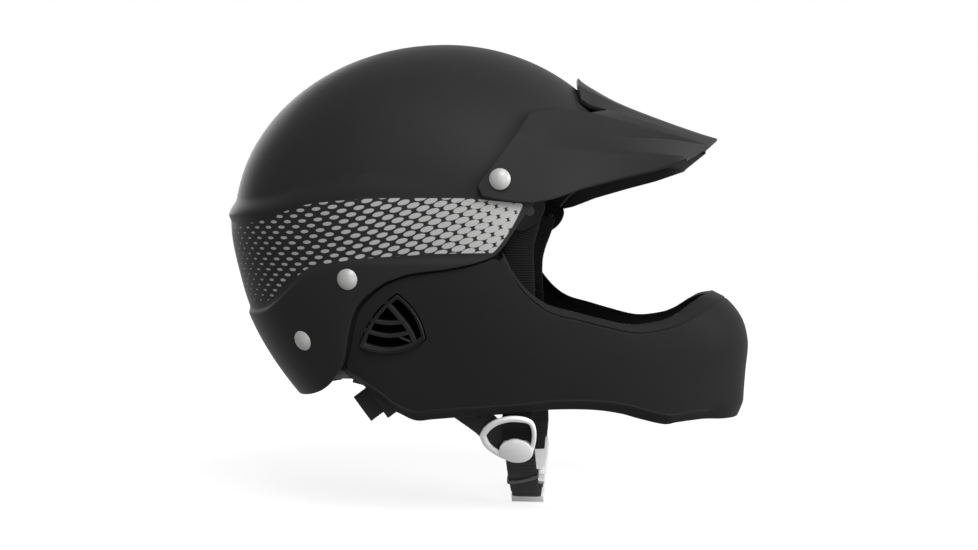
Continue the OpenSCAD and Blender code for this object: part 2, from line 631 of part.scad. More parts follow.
module anchor_shape(grow, down) {
    hull() {
        facing(anchor_a, anchor_out) translate([0, 0, -down])
            cylinder(r = anchor_ra + grow, h = down, $fn = 32);
        facing(anchor_b, anchor_out) translate([0, 0, -down])
            cylinder(r = anchor_rb + grow, h = down, $fn = 32);
    }
}
module anchor_pocket() { translate([0, 4, 0]) anchor_shape(0.6, anchor_t + 13); }
module strap_anchor_left() {
    color(black) difference() {
        anchor_shape(0, anchor_t);
        translate([pivot_x, pivot_y, pivot_z]) rotate([90, 0, 0])
            cylinder(d = visor_post_d + 2 * fit_gap, h = 40, center = true);
        facing(anchor_b, anchor_out) cylinder(d = screw_d, h = 20, center = true);
    }
}
module strap_anchor_right() { mirror([0, 1, 0]) strap_anchor_left(); }
module anchor_screws() {
    for (m = [0, 1]) mirror([0, m, 0]) color(black) facing(anchor_b, anchor_out) {
        translate([0, 0, 0.05]) cylinder(d = 6, h = 1.4);
        translate([0, 0, -anchor_t - web_t - 1.6])
            cylinder(d = screw_d - 2 * fit_gap, h = anchor_t + web_t + 1.8);
    }
}

// A strap: a flat band along a path, with its width direction and its size
module strap(path, wide, w, t) {
    n = len(path);
    dir = [for (i = [0:n - 1]) unit(path[min(i + 1, n - 1)] - path[max(i - 1, 0)])];
    side = function (i) unit(wide - (wide * dir[i]) * dir[i]);
    up = function (i) cross(dir[i], side(i));
    face = function (s) [for (i = [0:n - 1]) [for (k = [-1, -0.6, 0.6, 1])
        path[i] + k * (w / 2) * side(i) + s * (abs(k) == 1 ? 0.6 : 1) * (t / 2) * up(i)]];
    wall_of(face(1), face(-1));
}

// Points given by x, how far they lie in from the shell's widest line, and z
function inward(path) = [for (p = path) [p[0], shell_half_w - p[1], p[2]]];
front_strap_right_path = inward([[96, 25, 15], [93, 23.4, 2], [93.5, 24.4, -24], [94.5, 28, -60],
                                 [94, 33, -88], [93, 37, -102], [93, 35, -112.3]]);
front_strap_left_path = inward([[94.5, 24.6, 15], [86, 23.4, 2], [84.5, 24, -24], [87, 27.5, -55],
                                [90.5, 34.5, -74], [92, 38.2, -82]]);
module front_strap(path) { color(black_soft) strap(curve(path, 2), [1, 0, 0], web_w, web_t); }
module front_strap_left() { front_strap(front_strap_left_path); }
module front_strap_right() { mirror([0, 1, 0]) front_strap(front_strap_right_path); }

// Strap rings: each has the middle of its round cap and its tilt from upright. Local x is
// forward, local y up along the ring, local z outward. Places are for the wearer's left side,
// and the right ring is mirrored. The right ring hangs lower than the left one.
ring_x = 89.3;
ring_right = [shell_half_w - 49, -133.3];
ring_left = [shell_half_w - 44, -108];
ring_right_tilt = 41;
ring_left_tilt = 10;
ring_front = [15, 26];
ring_low = [1.5, -12];
ring_rear = [-23, 13.5];
ring_bulge = [3.5, 4.6, 10.5];
ring_bar = 4.2;
hub_d = 20.8;
hang_gap = 2.2;
patch_half = 9;

module on_ring(yz, tilt) {
    translate([ring_x, yz[0], yz[1]]) rotate([90 - tilt, 0, 0]) mirror([0, 0, 1]) children();
}
function ring_up(tilt) = [0, sin(tilt), cos(tilt)];
function ring_out(tilt) = [0, cos(tilt), -sin(tilt)];

// The chin strap swings on the line through both caps
swing_right = [ring_x, -ring_right[0], ring_right[1]];
swing_left = [ring_x, ring_left[0], ring_left[1]];
swing_axis = unit(swing_left - swing_right);
module on_swing(p) { facing(p, swing_axis) children(); }

module strap_ring(yz, tilt) {
    color(white) on_ring(yz, tilt) translate([0, 0, -ring_t]) linear_extrude(ring_t)
        union() {
            difference() {
                arc_triangle(ring_front, ring_low, ring_rear, ring_bulge, 0);
                arc_triangle(ring_front, ring_low, ring_rear, ring_bulge, ring_bar);
            }
            circle(d = hub_d);
        }
}
module swing_bores(d) {
    on_swing(swing_left) cylinder(d = d, h = 30, center = true);
    on_swing(swing_right) cylinder(d = d, h = 30, center = true);
}
module strap_ring_left() {
    difference() {
        strap_ring(ring_left, ring_left_tilt);
        color(white) swing_bores(ring_pin_d + 2 * fit_gap);
    }
}
module strap_ring_right() {
    difference() {
        mirror([0, 1, 0]) strap_ring(ring_right, ring_right_tilt);
        color(white) swing_bores(ring_pin_d + 2 * fit_gap);
    }
}

ring_cap_h = 2.2;
ring_cap_rim = 0.7;
module ring_cap(yz, tilt) {
    rise = ring_cap_h - ring_cap_rim;
    color(white) on_ring(yz, tilt) rotate_extrude()
        polygon(concat([[0, 0], [disc_d / 2, 0]],
                       [for (k = [5:-1:0]) [k / 5 * disc_d / 2, ring_cap_h - rise * pow(k / 5, 2)]]));
}
module ring_cap_left() { ring_cap(ring_left, ring_left_tilt); }
module ring_cap_right() { mirror([0, 1, 0]) ring_cap(ring_right, ring_right_tilt); }

// Pins: from under the cap, through the ring's hub and the end of the strap, to a small head
pin_head_d = 8;
pin_head_t = 1.2;
function slant(tilt, side) = abs([0, side * cos(tilt), -sin(tilt)] * swing_axis);
module ring_pin(p, inward, tilt, side) {
    c = slant(tilt, side);
    start = (0.4 + ring_pin_d / 2 * sqrt(1 - c * c)) / c;
    finish = (ring_t + hang_gap + web_t + 0.6) / c + 1.6;
    color(silver) facing(p, inward * swing_axis) {
        translate([0, 0, start]) cylinder(d = ring_pin_d, h = finish - start);
        translate([0, 0, finish]) cylinder(d = pin_head_d, h = pin_head_t);
    }
}
module ring_pins() {
    ring_pin(swing_left, -1, ring_left_tilt, 1);
    ring_pin(swing_right, 1, ring_right_tilt, -1);
}

// Buckle: its middle line in the plane of y and z, from its lower end up to the left
buckle_x = 91;
buckle_low = [1, -175];
buckle_turn = 38.7;
buckle_dir = [0, cos(buckle_turn), sin(buckle_turn)];
buckle_up = [0, -sin(buckle_turn), cos(buckle_turn)];
function at_buckle(s, k, x = buckle_x) =
    [x, buckle_low[0], buckle_low[1]] + s * buckle_dir + k * buckle_up;
// Local x is forward, local y runs along the buckle, local z is its thickness
module on_buckle() {
    translate([buckle_x, buckle_low[0], buckle_low[1]]) rotate([buckle_turn, 0, 0]) children();
}

// Chin strap: the lower leg goes over the buckle's end bar and down into its slot
hang_depth = ring_t + hang_gap + web_t / 2;
right_out = [0, -cos(ring_right_tilt), -sin(ring_right_tilt)];
right_up = [0, -sin(ring_right_tilt), cos(ring_right_tilt)];
right_patch = [buckle_x, swing_right[1], swing_right[2]] - hang_depth * right_out;
left_patch = [buckle_x, swing_left[1], swing_left[2]] - hang_depth * ring_out(ring_left_tilt);
keeper_at = [buckle_x, -30, -154];
keeper_dir = [0, 0.8, -0.6];
leg_right_path = [right_patch + patch_half * right_up, right_patch, right_patch - 8 * right_up,
                  keeper_at - 7.5 * keeper_dir, keeper_at, keeper_at + 15 * keeper_dir,
                  [buckle_x, -10.6, -168.5], [buckle_x, -6.4, -171.4], [buckle_x, -3.4, -172.3],
                  [buckle_x, -0.8, -171.3], at_buckle(4, 4), at_buckle(8, 3.8),
                  at_buckle(10.7, 1.8), at_buckle(11, -1)];
web_straight = (ring_left[0] - 2.907 - buckle_low[0]) / cos(buckle_turn);
leg_left_path = [at_buckle(46, 0), at_buckle(60, 0), at_buckle(web_straight - 3, 0),
                 at_buckle(web_straight, 0), [buckle_x, ring_left[0] - 3.7, -123],
                 [buckle_x, ring_left[0] - 6.4, -118.6],
                 left_patch - patch_half * ring_up(ring_left_tilt), left_patch,
                 left_patch + patch_half * ring_up(ring_left_tilt)];
module chin_strap(path) {
    color(black_soft) difference() {
        strap(path, [1, 0, 0], web_w, web_t);
        swing_bores(ring_pin_d);
    }
}
module chin_strap_left() { chin_strap(leg_left_path); }
module chin_strap_right() { chin_strap(leg_right_path); }

// Keeper: an elastic band round the lower leg, free to slide along it
keeper_l = 3.4;
keeper_t = 1;
keeper_room = 0.35;
module strap_keeper() {
    color(grey) translate(keeper_at) rotate([-acos(keeper_dir[1]), 0, 0]) difference() {
        cube([web_w + 2 * (keeper_room + keeper_t), keeper_l, web_t + 2 * (keeper_room + keeper_t)],
             center = true);
        cube([web_w + 2 * keeper_room, keeper_l + 1, web_t + 2 * keeper_room], center = true);
    }
}

// Female half: a flat case, open below and at its sides as far as the windows' upper ends
buckle_w = web_w + 2 * buckle_side;
mouth_s = 24;
window_s = 41.6;
case_s = 46;
module buckle_female() {
    color(white) on_buckle() difference() {
        translate([-buckle_w / 2, mouth_s, -buckle_t / 2])
            cube([buckle_w, buckle_l - mouth_s, buckle_t]);
        translate([-web_w / 2 - loose_gap, mouth_s - 1, -buckle_t / 2 + buckle_wall])
            cube([web_w + 2 * loose_gap, case_s - mouth_s + 1, buckle_t - 2 * buckle_wall]);
        translate([-buckle_w / 2 - 1, mouth_s - 1, -buckle_t / 2 + buckle_wall])
            cube([buckle_w + 2, window_s - mouth_s + 1, buckle_t - 2 * buckle_wall]);
        translate([-web_w / 2 - loose_gap, case_s - 1, -web_t / 2 - loose_gap])
            cube([web_w + 2 * loose_gap, buckle_l - case_s + 2, web_t + 2 * loose_gap]);
        for (m = [0, 1]) mirror([m, 0, 0]) translate([buckle_w / 2 + 8, mouth_s - 2, 0])
            cylinder(r = 10, h = buckle_t + 1, center = true);
    }
}

// Male half: end bar, web slot, shoulder and middle tongue
bar_s = 8.5;
slot_s = 13;
shoulder_s = 20;
tongue_s = 41;
tongue_w = 5.2;
shoulder_t = buckle_t - 1.2;
prong_x = 6.8;
prong_r = 1.6;
prong_t = 4.2;
prong_tip_s = 42;
prong_head_s = [33.6, 40.6];
prong_head_x = 11;
module buckle_male() {
    color(white) on_buckle() difference() {
        union() {
            translate([-buckle_w / 2, 0, -buckle_t / 2]) cube([buckle_w, bar_s, buckle_t / 2 + 2.4]);
            for (m = [0, 1]) mirror([m, 0, 0])
                translate([web_w / 2 + 0.55, bar_s - 1, -buckle_t / 2])
                    cube([buckle_w / 2 - web_w / 2 - 0.55, slot_s - bar_s + 2, buckle_t / 2 + 2.4]);
            translate([-buckle_w / 2, slot_s, -shoulder_t / 2])
                cube([buckle_w, shoulder_s - slot_s, shoulder_t]);
            translate([-tongue_w / 2, shoulder_s - 1, -prong_t / 2])
                cube([tongue_w, tongue_s - shoulder_s + 1, prong_t]);
        }
        for (x = [-prong_x, prong_x]) translate([x, shoulder_s, 0])
            cylinder(r = prong_r + fit_gap, h = buckle_t, center = true);
    }
}
module prong() {
    x0 = prong_x - prong_r;
    h0 = prong_head_s[0];
    h1 = prong_head_s[1];
    color(white) on_buckle() {
        translate([prong_x, shoulder_s, 0]) cylinder(r = prong_r, h = prong_t, center = true);
        translate([0, 0, -prong_t / 2]) linear_extrude(prong_t)
            polygon([[x0, shoulder_s], [x0 + 2 * prong_r, shoulder_s], [x0 + 2 * prong_r, h0 - 3],
                     [prong_head_x, h0], [prong_head_x, h1 - 3], [prong_head_x - 2.4, h1],
                     [x0 + 1.6, prong_tip_s], [x0, prong_tip_s - 1]]);
    }
}
module prong_front() { prong(); }
module prong_rear() { translate([2 * buckle_x, 0, 0]) mirror([1, 0, 0]) prong(); }

// Rear straps: from each ring's rear corner up to the cradle's anchor
rear_strap_right_path = inward([[67.2, 38.4, -117.6], [61, 36.5, -108.5], [48, 31.5, -98],
                                [25, 27.2, -88.5], [0, 27.7, -82], [-15, 29.6, -78.5]]);
rear_strap_left_path = inward([[66, 41, -93.5], [58, 36.5, -94.5], [45, 31, -93],
                               [25, 27.2, -88.5], [0, 27.7, -82], [-15, 29.6, -78.5]]);
module rear_strap(path) {
    color(black_soft) strap(curve(path, 2), [0.5, 0, 0.8], web_w * 0.8, web_t);
}
module rear_strap_left() { rear_strap(rear_strap_left_path); }
module rear_strap_right() { mirror([0, 1, 0]) rear_strap(rear_strap_right_path); }

// Cradle behind the neck: a band between two pivots, with a pad in front of it
cradle_pivot = [-26, -77];
cradle_h = 17;
cradle_t = 3;
arm_y = shell_half_w - 31.3;
arm_d = 14;
cradle_half_path = [[cradle_pivot[0], arm_y, cradle_pivot[1]], [-34, arm_y - 0.5, -78.5],
                    [-43, arm_y - 7.7, -81.5], [-52, arm_y - 22.7, -84],
                    [-59, arm_y - 38.7, -85.5], [-63.5, 18, -86.5], [-65, 0, -87]];
function cradle_path() =
    let (h = curve(cradle_half_path, 2))
    concat(h, [for (i = [len(h) - 2:-1:0]) mirrored(h[i])]);
pin_d = 4;
module cradle() {
    color(black) difference() {
        union() {
            strap(cradle_path(), [0, 0, 1], cradle_h, cradle_t);
            for (m = [0, 1]) mirror([0, m, 0])
                translate([cradle_pivot[0], arm_y + cradle_t / 2, cradle_pivot[1]])
                    rotate([90, 0, 0]) cylinder(d = arm_d, h = cradle_t);
        }
        translate([cradle_pivot[0], 0, cradle_pivot[1]]) rotate([90, 0, 0])
            cylinder(d = pin_d + 2 * fit_gap, h = 200, center = true);
    }
}
pad_gap = 0.3;
module cradle_pad() {
    path = cradle_path();
    n = len(path);
    inset = cradle_t / 2 + pad_gap + 2.5;
    inner = [for (i = [4:n - 5]) path[i] + [inset, -sign(path[i][1]) * inset *
        min(1, abs(path[i][1]) / 40), 0]];
    color(black_soft) strap(inner, [0, 0, 1], cradle_h - 1, 5);
}
anchor_y = arm_y + cradle_t / 2 + 0.3;
cradle_anchor_t = 1.8;
module cradle_anchor_left() {
    color(grey) difference() {
        union() {
            translate([cradle_pivot[0], anchor_y + cradle_anchor_t, cradle_pivot[1]])
                rotate([90, 0, 0]) cylinder(d = 15, h = cradle_anchor_t);
            translate([cradle_pivot[0] - 4, anchor_y, cradle_pivot[1] - 7.5])
                cube([13, cradle_anchor_t, 13]);
        }
        translate([cradle_pivot[0], 0, cradle_pivot[1]]) rotate([90, 0, 0])
            cylinder(d = pin_d, h = 200, center = true);
    }
}
module cradle_anchor_right() { mirror([0, 1, 0]) cradle_anchor_left(); }
module cradle_pins() {
    for (m = [0, 1]) mirror([0, m, 0]) color(silver)
        translate([cradle_pivot[0], 0, cradle_pivot[1]]) rotate([-90, 0, 0]) {
            translate([0, 0, arm_y - cradle_t / 2 - 1.5])
                cylinder(d = 7, h = 1.2);
            translate([0, 0, arm_y - cradle_t / 2 - 0.4])
                cylinder(d = pin_d, h = cradle_t + 0.7 + cradle_anchor_t);
        }
}

// Nape webbing: a doubled band that hangs behind the guard's lower corner, and its slider
nape_dir = [0.8, 0.02, 0.6];
nape_wide = [0.6, 0, -0.8];
nape_end = [-11.5, shell_half_w - 34.6, -105];
nape_t = 4;
slider_at = 17;
module nape_web_left() {
    color(black_soft)
        strap([for (k = [0:6:30]) nape_end + k * nape_dir], nape_wide, web_w, nape_t);
}
module nape_web_right() { mirror([0, 1, 0]) nape_web_left(); }
module nape_slider_left() {
    room = nape_t + 2 * loose_gap;
    color(grey) translate(nape_end + slider_at * nape_dir + 2 * nape_wide)
        rotate([0, -atan2(nape_dir[2], nape_dir[0]), 0]) difference() {
            cube([12, room + 3, web_w + 6], center = true);
            translate([0, 0, 2]) cube([14, room, web_w + 2 * loose_gap], center = true);
        }
}
module nape_slider_right() { mirror([0, 1, 0]) nape_slider_left(); }

outer_shell();
foam_liner();
brow_pad();
crown_pad();
rear_pad();
side_pad_left();
side_pad_right();
chin_guard();
cheek_pad_left();
cheek_pad_right();
chin_pad();
vent_grille_left();
vent_grille_right();
visor();
visor_posts();
guard_posts();
post_screws();
post_washers();
strap_anchor_left();
strap_anchor_right();
anchor_screws();
front_strap_left();
front_strap_right();
rear_strap_left();
rear_strap_right();
strap_ring_left();
strap_ring_right();
ring_cap_left();
ring_cap_right();
ring_pins();
chin_strap_left();
chin_strap_right();
strap_keeper();
buckle_female();
buckle_male();
prong_front();
prong_rear();
cradle();
cradle_pad();
cradle_pins();
cradle_anchor_left();
cradle_anchor_right();
nape_web_left();
nape_web_right();
nape_slider_left();
nape_slider_right();
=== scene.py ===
"""Full-face kayak helmet: matte shell with a dotted side band, chin guard, visor and straps.

The surfaces follow the same level slices as the solids, in millimetres, with finer rims,
beads, webbing ribs and padding. Objects are in metres at the origin."""
import math

import bmesh
import bpy
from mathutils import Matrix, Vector


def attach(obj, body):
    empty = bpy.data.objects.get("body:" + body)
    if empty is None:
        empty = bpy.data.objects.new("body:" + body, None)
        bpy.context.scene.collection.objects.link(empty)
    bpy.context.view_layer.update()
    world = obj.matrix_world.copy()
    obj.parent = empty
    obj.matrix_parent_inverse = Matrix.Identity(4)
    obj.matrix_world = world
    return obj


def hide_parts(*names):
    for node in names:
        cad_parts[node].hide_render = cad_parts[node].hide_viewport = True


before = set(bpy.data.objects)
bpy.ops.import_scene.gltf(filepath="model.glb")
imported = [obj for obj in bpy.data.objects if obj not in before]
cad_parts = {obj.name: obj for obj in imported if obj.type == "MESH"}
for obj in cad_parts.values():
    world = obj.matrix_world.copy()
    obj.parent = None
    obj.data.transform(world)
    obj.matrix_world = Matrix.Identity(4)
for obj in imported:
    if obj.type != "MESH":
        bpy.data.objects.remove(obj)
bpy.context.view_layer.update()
scene = bpy.context.scene
MM = 0.001


# Camera

def add_object(name, data):
    thing = bpy.data.objects.new(name, data)
    scene.collection.objects.link(thing)
    return thing


def set_camera():
    lens = bpy.data.cameras.new("camera")
    lens.sensor_width, lens.lens, lens.clip_start = 36, 52.59, 0.01
    camera = add_object("camera", lens)
    camera.location = (0.18906, -1.0, 0.00339)
    camera.rotation_euler = (math.radians(88.806), 0, math.radians(7.142))
    scene.camera = camera


set_camera()


# Curves and tables

def clamp(v, low=0.0, high=1.0):
    return max(low, min(high, v))


def mix(a, b, t):
    return a + (b - a) * t


def ease(t):
    t = clamp(t)
    return t * t * (3 - 2 * t)


def power(v, n):
    """A power that keeps the sign: on a circle's sine and cosine, under 1 it squares the circle."""
    return math.copysign(abs(v) ** n, v)


def spoke(k, count, start=0.5):
    """Cosine and sine of the k-th of count even turns."""
    a = 2 * math.pi * (k + start) / count
    return math.cos(a), math.sin(a)


def along(table, x):
    """A smooth line through a short list of (x, y) points."""
    x = clamp(x, table[0][0], table[-1][0])
    i = 0
    while i < len(table) - 2 and x >= table[i + 1][0]:
        i += 1

    def slope(k):
        a, b = table[max(k - 1, 0)], table[min(k + 1, len(table) - 1)]
        return (b[1] - a[1]) / (b[0] - a[0])
    h = table[i + 1][0] - table[i][0]
    u = (x - table[i][0]) / h
    return ((2 * u ** 3 - 3 * u * u + 1) * table[i][1] + (u ** 3 - 2 * u * u + u) * slope(i) * h
            + (3 * u * u - 2 * u ** 3) * table[i + 1][1] + (u ** 3 - u * u) * slope(i + 1) * h)


def curve(points, steps):
    """A smooth curve through points of any size, with steps between each pair."""
    line = []
    for i in range(len(points) - 1):
        a, b, c = points[max(i - 1, 0)], points[i], points[i + 1]
        d = points[min(i + 2, len(points) - 1)]
        for k in range(steps):
            u = k / steps
            line.append(tuple(0.5 * (2 * q + (r - p) * u + (2 * p - 5 * q + 4 * r - s) * u * u
                                     + (3 * q - p - 3 * r + s) * u ** 3)
                              for p, q, r, s in zip(a, b, c, d)))
    return line + [tuple(points[-1])]


def even(line, count, weights):
    """Count + 1 evenly spaced points of a line, measured with a weight for each coordinate."""
    walk = [0.0]
    for a, b in zip(line, line[1:]):
        walk.append(walk[-1] + math.sqrt(sum((w * (q - p)) ** 2 for w, p, q in zip(weights, a, b))))
    out, i = [], 0
    for k in range(count + 1):
        s = walk[-1] * k / count
        while i < len(walk) - 2 and walk[i + 1] < s:
            i += 1
        t = (s - walk[i]) / max(walk[i + 1] - walk[i], 1e-9)
        out.append(tuple(mix(p, q, clamp(t)) for p, q in zip(line[i], line[i + 1])))
    return out


# The helmet's slices

CROWN_Z, CROWN_X, DOME_Z, LOBE_Z = 143.4, 34.0, 20.0, -99.0
WALL = 3.5
FAR = 999
RIDGE_LINE = [(-121, 26), (-100, 24), (-71, 25), (-42, 32), (-6, 38.6), (14, 38.4), (43, 35),
              (70, 32.7), (98, 30)]
CREASE_LINE = [(-110, -38), (-85, -38), (-74, -35), (-58, -24), (-45, -13), (-30, -7.5),
               (-14, -4.4), (20, -4), (80, -2.8)]
SHELL_EDGE = [(FAR, 52), (157, 52), (151, 52), (136, 50.5), (120, 43.5), (107, 32), (98.9, 22.4),
              (91, 10), (84.1, 0), (77.9, -4.7), (64.5, -9.1), (48.4, -12.3), (25.9, -15.3),
              (8.8, -21.7), (-3.7, -31), (-10.2, -40), (-14.2, -51.6), (-17.3, -66.4),
              (-20.8, -76.4), (-28, -86), (-36, -92.5), (-46, -96.5), (-56, -98.4),
              (-61, -98.8), (-64.4, -99), (-FAR, -99)]
LINER_EDGE = [(FAR, 58), (156, 58), (149, 58), (134, 56), (118, 49), (106, 42), (97, 34),
              (89, 25), (78, 14), (60, 9), (40, 6), (10, 4), (-10, 4), (-26, -2), (-38, -14),
              (-52, -30), (-66, -40), (-78, -49), (-86, -54.5), (-90.5, -57.5),
              (-93.2, -59.5), (-FAR, -60)]


FRONT_REACH, REAR_REACH, HALF_WIDTH = 137, 148, 108
SIDE_POWER, REAR_POWER = 2.2, 2.3
BROW_TOP, BROW_LOW, BROW_FADE, BROW_CUT = 95, 40, 45, 8.1
LOBE_CUT, NARROW_Z, NARROW = 48.5, 10, 20
RIDGE_HIGH, RIDGE_STEP, RIDGE_DROP, FLARE_HIGH = 4.2, 5, 0.62, 2.6
CROWN_CAP, CROWN_TIP = 0.7, 0.02
MID_X, MID_SHIFT = 12, 22


def dome_t(z):
    """How far up the dome a level is, from 0 to 1."""
    return clamp((z - DOME_Z) / (CROWN_Z - DOME_Z))


def dome_k(z):
    return math.sqrt(max(0.0, 1 - dome_t(z) ** 2))


def shell_front(z):
    brow = max(0, BROW_TOP - max(z, BROW_LOW)) / BROW_FADE
    return CROWN_X + FRONT_REACH * dome_k(z) - BROW_CUT * brow ** 2


def shell_rear(z):
    lobe = max(0, DOME_Z - z) / (DOME_Z - LOBE_Z)
    return CROWN_X - REAR_REACH * dome_k(z) + LOBE_CUT * lobe ** 2.2


def shell_mid(z):
    """Where a level is widest."""
    return MID_X + MID_SHIFT * dome_t(z) ** 2


def shell_half(z):
    low = max(0, NARROW_Z - z) / (NARROW_Z - LOBE_Z)
    wide = max(0, 1 - dome_t(z) ** SIDE_POWER) ** (1 / SIDE_POWER)
    return HALF_WIDTH * wide - NARROW * low ** 1.6


def front_power(z):
    return mix(2.6, 2.05, ease((z - 30) / 70))


def ridge_rise(x, z):
    """The raised step round the rear: short above its line, long below it."""
    s, high = z - along(RIDGE_LINE, x), RIDGE_HIGH * (1 - ease((x + 100) / 170))
    if s >= 0:
        return high * (1 - ease(s / 12))
    if s > -RIDGE_STEP:
        return high * mix(1, RIDGE_DROP, ease(-s / RIDGE_STEP))
    return high * RIDGE_DROP * (1 - ease((-s - RIDGE_STEP) / 40))


def flare_rise(x, z):
    """The flare below the crease line."""
    return FLARE_HIGH * ease((along(CREASE_LINE, x) - z) / 6) * (1 - 0.6 * ease((x - 20) / 80))


def oval(phi, z, front, rear, mid, half, n_front, rise=False):
    """A point of a level slice at the turn phi: 0 is the front, 180 the rear."""
    c, s = math.cos(math.radians(phi)), math.sin(math.radians(phi))
    n, a = (n_front, front - mid) if c > 0 else (REAR_POWER, mid - rear)
    cx = power(c, 2 / n)
    sy = power(s, 2 / n) if abs(s) > 1e-9 else 0.0
    x = mid + a * cx
    r = ridge_rise(x, z) + flare_rise(x, z) if rise else 0
    return Vector((mid + (a + r) * cx, (half + r) * sy, z))


def dome_point(phi, z, rise=True):
    return oval(phi, z, shell_front(z), shell_rear(z), shell_mid(z), shell_half(z),
                front_power(z), rise)


def turn_at(x, front, rear, mid, n_front):
    """The turn of a level slice at which it passes x."""
    n, a = (n_front, front - mid) if x > mid else (REAR_POWER, mid - rear)
    return math.degrees(math.acos(power(clamp((x - mid) / a, -1, 1), n / 2)))


def dome_turn(x, z):
    return turn_at(x, shell_front(z), shell_rear(z), shell_mid(z), front_power(z))


def normal_of(point, phi, z, dz=0.5):
    out = (point(phi + 0.7, z) - point(phi - 0.7, z)).cross(point(phi, z + dz) - point(phi, z - dz))
    return out.normalized()


def dome_normal(phi, z):
    """The smooth dome's normal, which leans over to straight up just below the crown."""
    def smooth_dome(p, q):
        return dome_point(p, q, False)
    up = Vector((0, 0, 1))
    if z > CROWN_Z - CROWN_TIP:
        return up
    if z > CROWN_Z - CROWN_CAP:
        start = normal_of(smooth_dome, phi, CROWN_Z - CROWN_CAP, 0.3)
        return start.lerp(up, (z - CROWN_Z + CROWN_CAP) / CROWN_CAP).normalized()
    return normal_of(smooth_dome, phi, z)


def dome_inside(phi, z, depth, rise=True):
    return dome_point(phi, z, rise) - depth * dome_normal(phi, z)


def on_dome(x, z, out):
    return dome_inside(dome_turn(x, z), z, -out)


def edge_columns(edge, count):
    """Evenly spaced columns (turn, lowest level) along an edge, from the front to the rear."""
    line = curve([(dome_turn(x, z), z) for x, z in edge], 8)
    return even(line, count, (1.9, 1.0))


# Mesh helpers

# How near vertices merge, in metres: in a solid's copy, in a tube, in a skin and across the middle.
MERGE_SOLID, MERGE_TUBE, MERGE_SKIN, MERGE_MIDDLE = 0.000005, 0.000002, 0.00001, 0.00005
SOFT_ANGLE = math.radians(32)


def grid_of(bm, columns, rows):
    """Add a grid and go through its vertices, each with its column and row."""
    for v in bmesh.ops.create_grid(bm, x_segments=columns, y_segments=rows, size=0.5)["verts"]:
        yield v, round((v.co.x + 0.5) * columns), round((v.co.y + 0.5) * rows)


def skin(bm, columns, place):
    """A grid through columns of (key, stations), where a key starts with the column's turn
    and place(vertex, key, level, depth) gives a point in mm. It meets the middle plane."""
    for v, c, k in grid_of(bm, len(columns) - 1, len(columns[0][1]) - 1):
        key, stops = columns[c]
        p = place(v, key, *stops[k])
        if key[0] in (0.0, 180.0):
            p.y = 0.0
        v.co = p * MM


def tube(bm, along_count, around, place, loop=False, mark=None):
    """A grid rolled into a tube, or into a ring where it loops. Place(station, turn) gives a
    point in mm, and mark(vertex, station, turn) sets what else a vertex holds."""
    made = []
    for v, k, i in grid_of(bm, around, along_count):
        i, k = i % along_count if loop else i, k % around
        v.co = Vector(place(i, k)) * MM
        if mark:
            mark(v, i, k)
        made.append(v)
    bmesh.ops.remove_doubles(bm, verts=made, dist=MERGE_TUBE)


def disc(bm, points):
    """A flat face through points in mm."""
    verts = bmesh.ops.create_circle(bm, segments=len(points), radius=1, cap_ends=True)["verts"]
    for v, p in zip(verts, points):
        v.co = p * MM


def extrude(bm, step):
    """Extrude all faces by a step in mm and give the new ones."""
    grown = bmesh.ops.extrude_face_region(bm, geom=bm.faces[:])["geom"]
    verts = [g for g in grown if isinstance(g, bmesh.types.BMVert)]
    bmesh.ops.translate(bm, verts=verts, vec=step * MM)
    return [g for g in grown if isinstance(g, bmesh.types.BMFace)]


def bevel(bm, edges, offset, clamp_overlap=True):
    made = bmesh.ops.bevel(bm, geom=edges, offset=offset, offset_type="OFFSET", affect="EDGES",
                           segments=3, profile=0.5, material=-1, clamp_overlap=clamp_overlap)
    return made["verts"]


def turn_out(bm):
    bmesh.ops.recalc_face_normals(bm, faces=bm.faces)


def mirror_half(bm):
    """Mirror the left half to the right."""
    bmesh.ops.mirror(bm, geom=bm.verts[:] + bm.edges[:] + bm.faces[:], axis="Y",
                     merge_dist=MERGE_MIDDLE)


def close_up(bm):
    """Cap what is open and turn the faces outwards."""
    bmesh.ops.holes_fill(bm, edges=[e for e in bm.edges if e.is_boundary], sides=0)
    turn_out(bm)


def join_halves(bm):
    """Mirror the left half to the right, join what meets and turn the faces outwards."""
    mirror_half(bm)
    bmesh.ops.remove_doubles(bm, verts=bm.verts, dist=MERGE_MIDDLE)
    turn_out(bm)


def mesh_of(bm, name):
    mesh = bpy.data.meshes.new(name)
    bm.to_mesh(mesh)
    bm.free()
    return mesh


def smooth(mesh, sharp=None):
    """Shade smooth, with a crease at edges past the sharp angle."""
    mesh.shade_smooth()
    if sharp:
        mesh.set_sharp_from_angle(angle=math.radians(sharp))


def finish_piece(name, bm, material, body, sharp=None):
    piece = add_object(name, mesh_of(bm, name))
    piece.data.materials.append(material)
    smooth(piece.data, sharp)
    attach(piece, body)
    return piece


def settle(piece):
    """Apply a piece's modifiers."""
    graph = bpy.context.evaluated_depsgraph_get()
    mesh = bpy.data.meshes.new_from_object(piece.evaluated_get(graph))
    piece.modifiers.clear()
    piece.data = mesh


def copy_of_node(node):
    """A merged copy of a solid's mesh, with flat areas made whole."""
    bm = bmesh.new()
    bm.from_mesh(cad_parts[node].data)
    bmesh.ops.remove_doubles(bm, verts=bm.verts, dist=MERGE_SOLID)
    bmesh.ops.dissolve_limit(bm, angle_limit=math.radians(1.0), verts=bm.verts, edges=bm.edges)
    return bm


def softened(node, name, radius, material, body):
    """A moulded copy of a solid with rounded edges, in the solid's place."""
    bm = copy_of_node(node)
    bevel(bm, [e for e in bm.edges if len(e.link_faces) == 2
               and e.calc_face_angle(0) > SOFT_ANGLE], radius * MM)
    bmesh.ops.triangulate(bm, faces=[f for f in bm.faces if len(f.verts) > 4])
    piece = finish_piece(name, bm, material, body, sharp=40)
    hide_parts(node)


# Shader groups

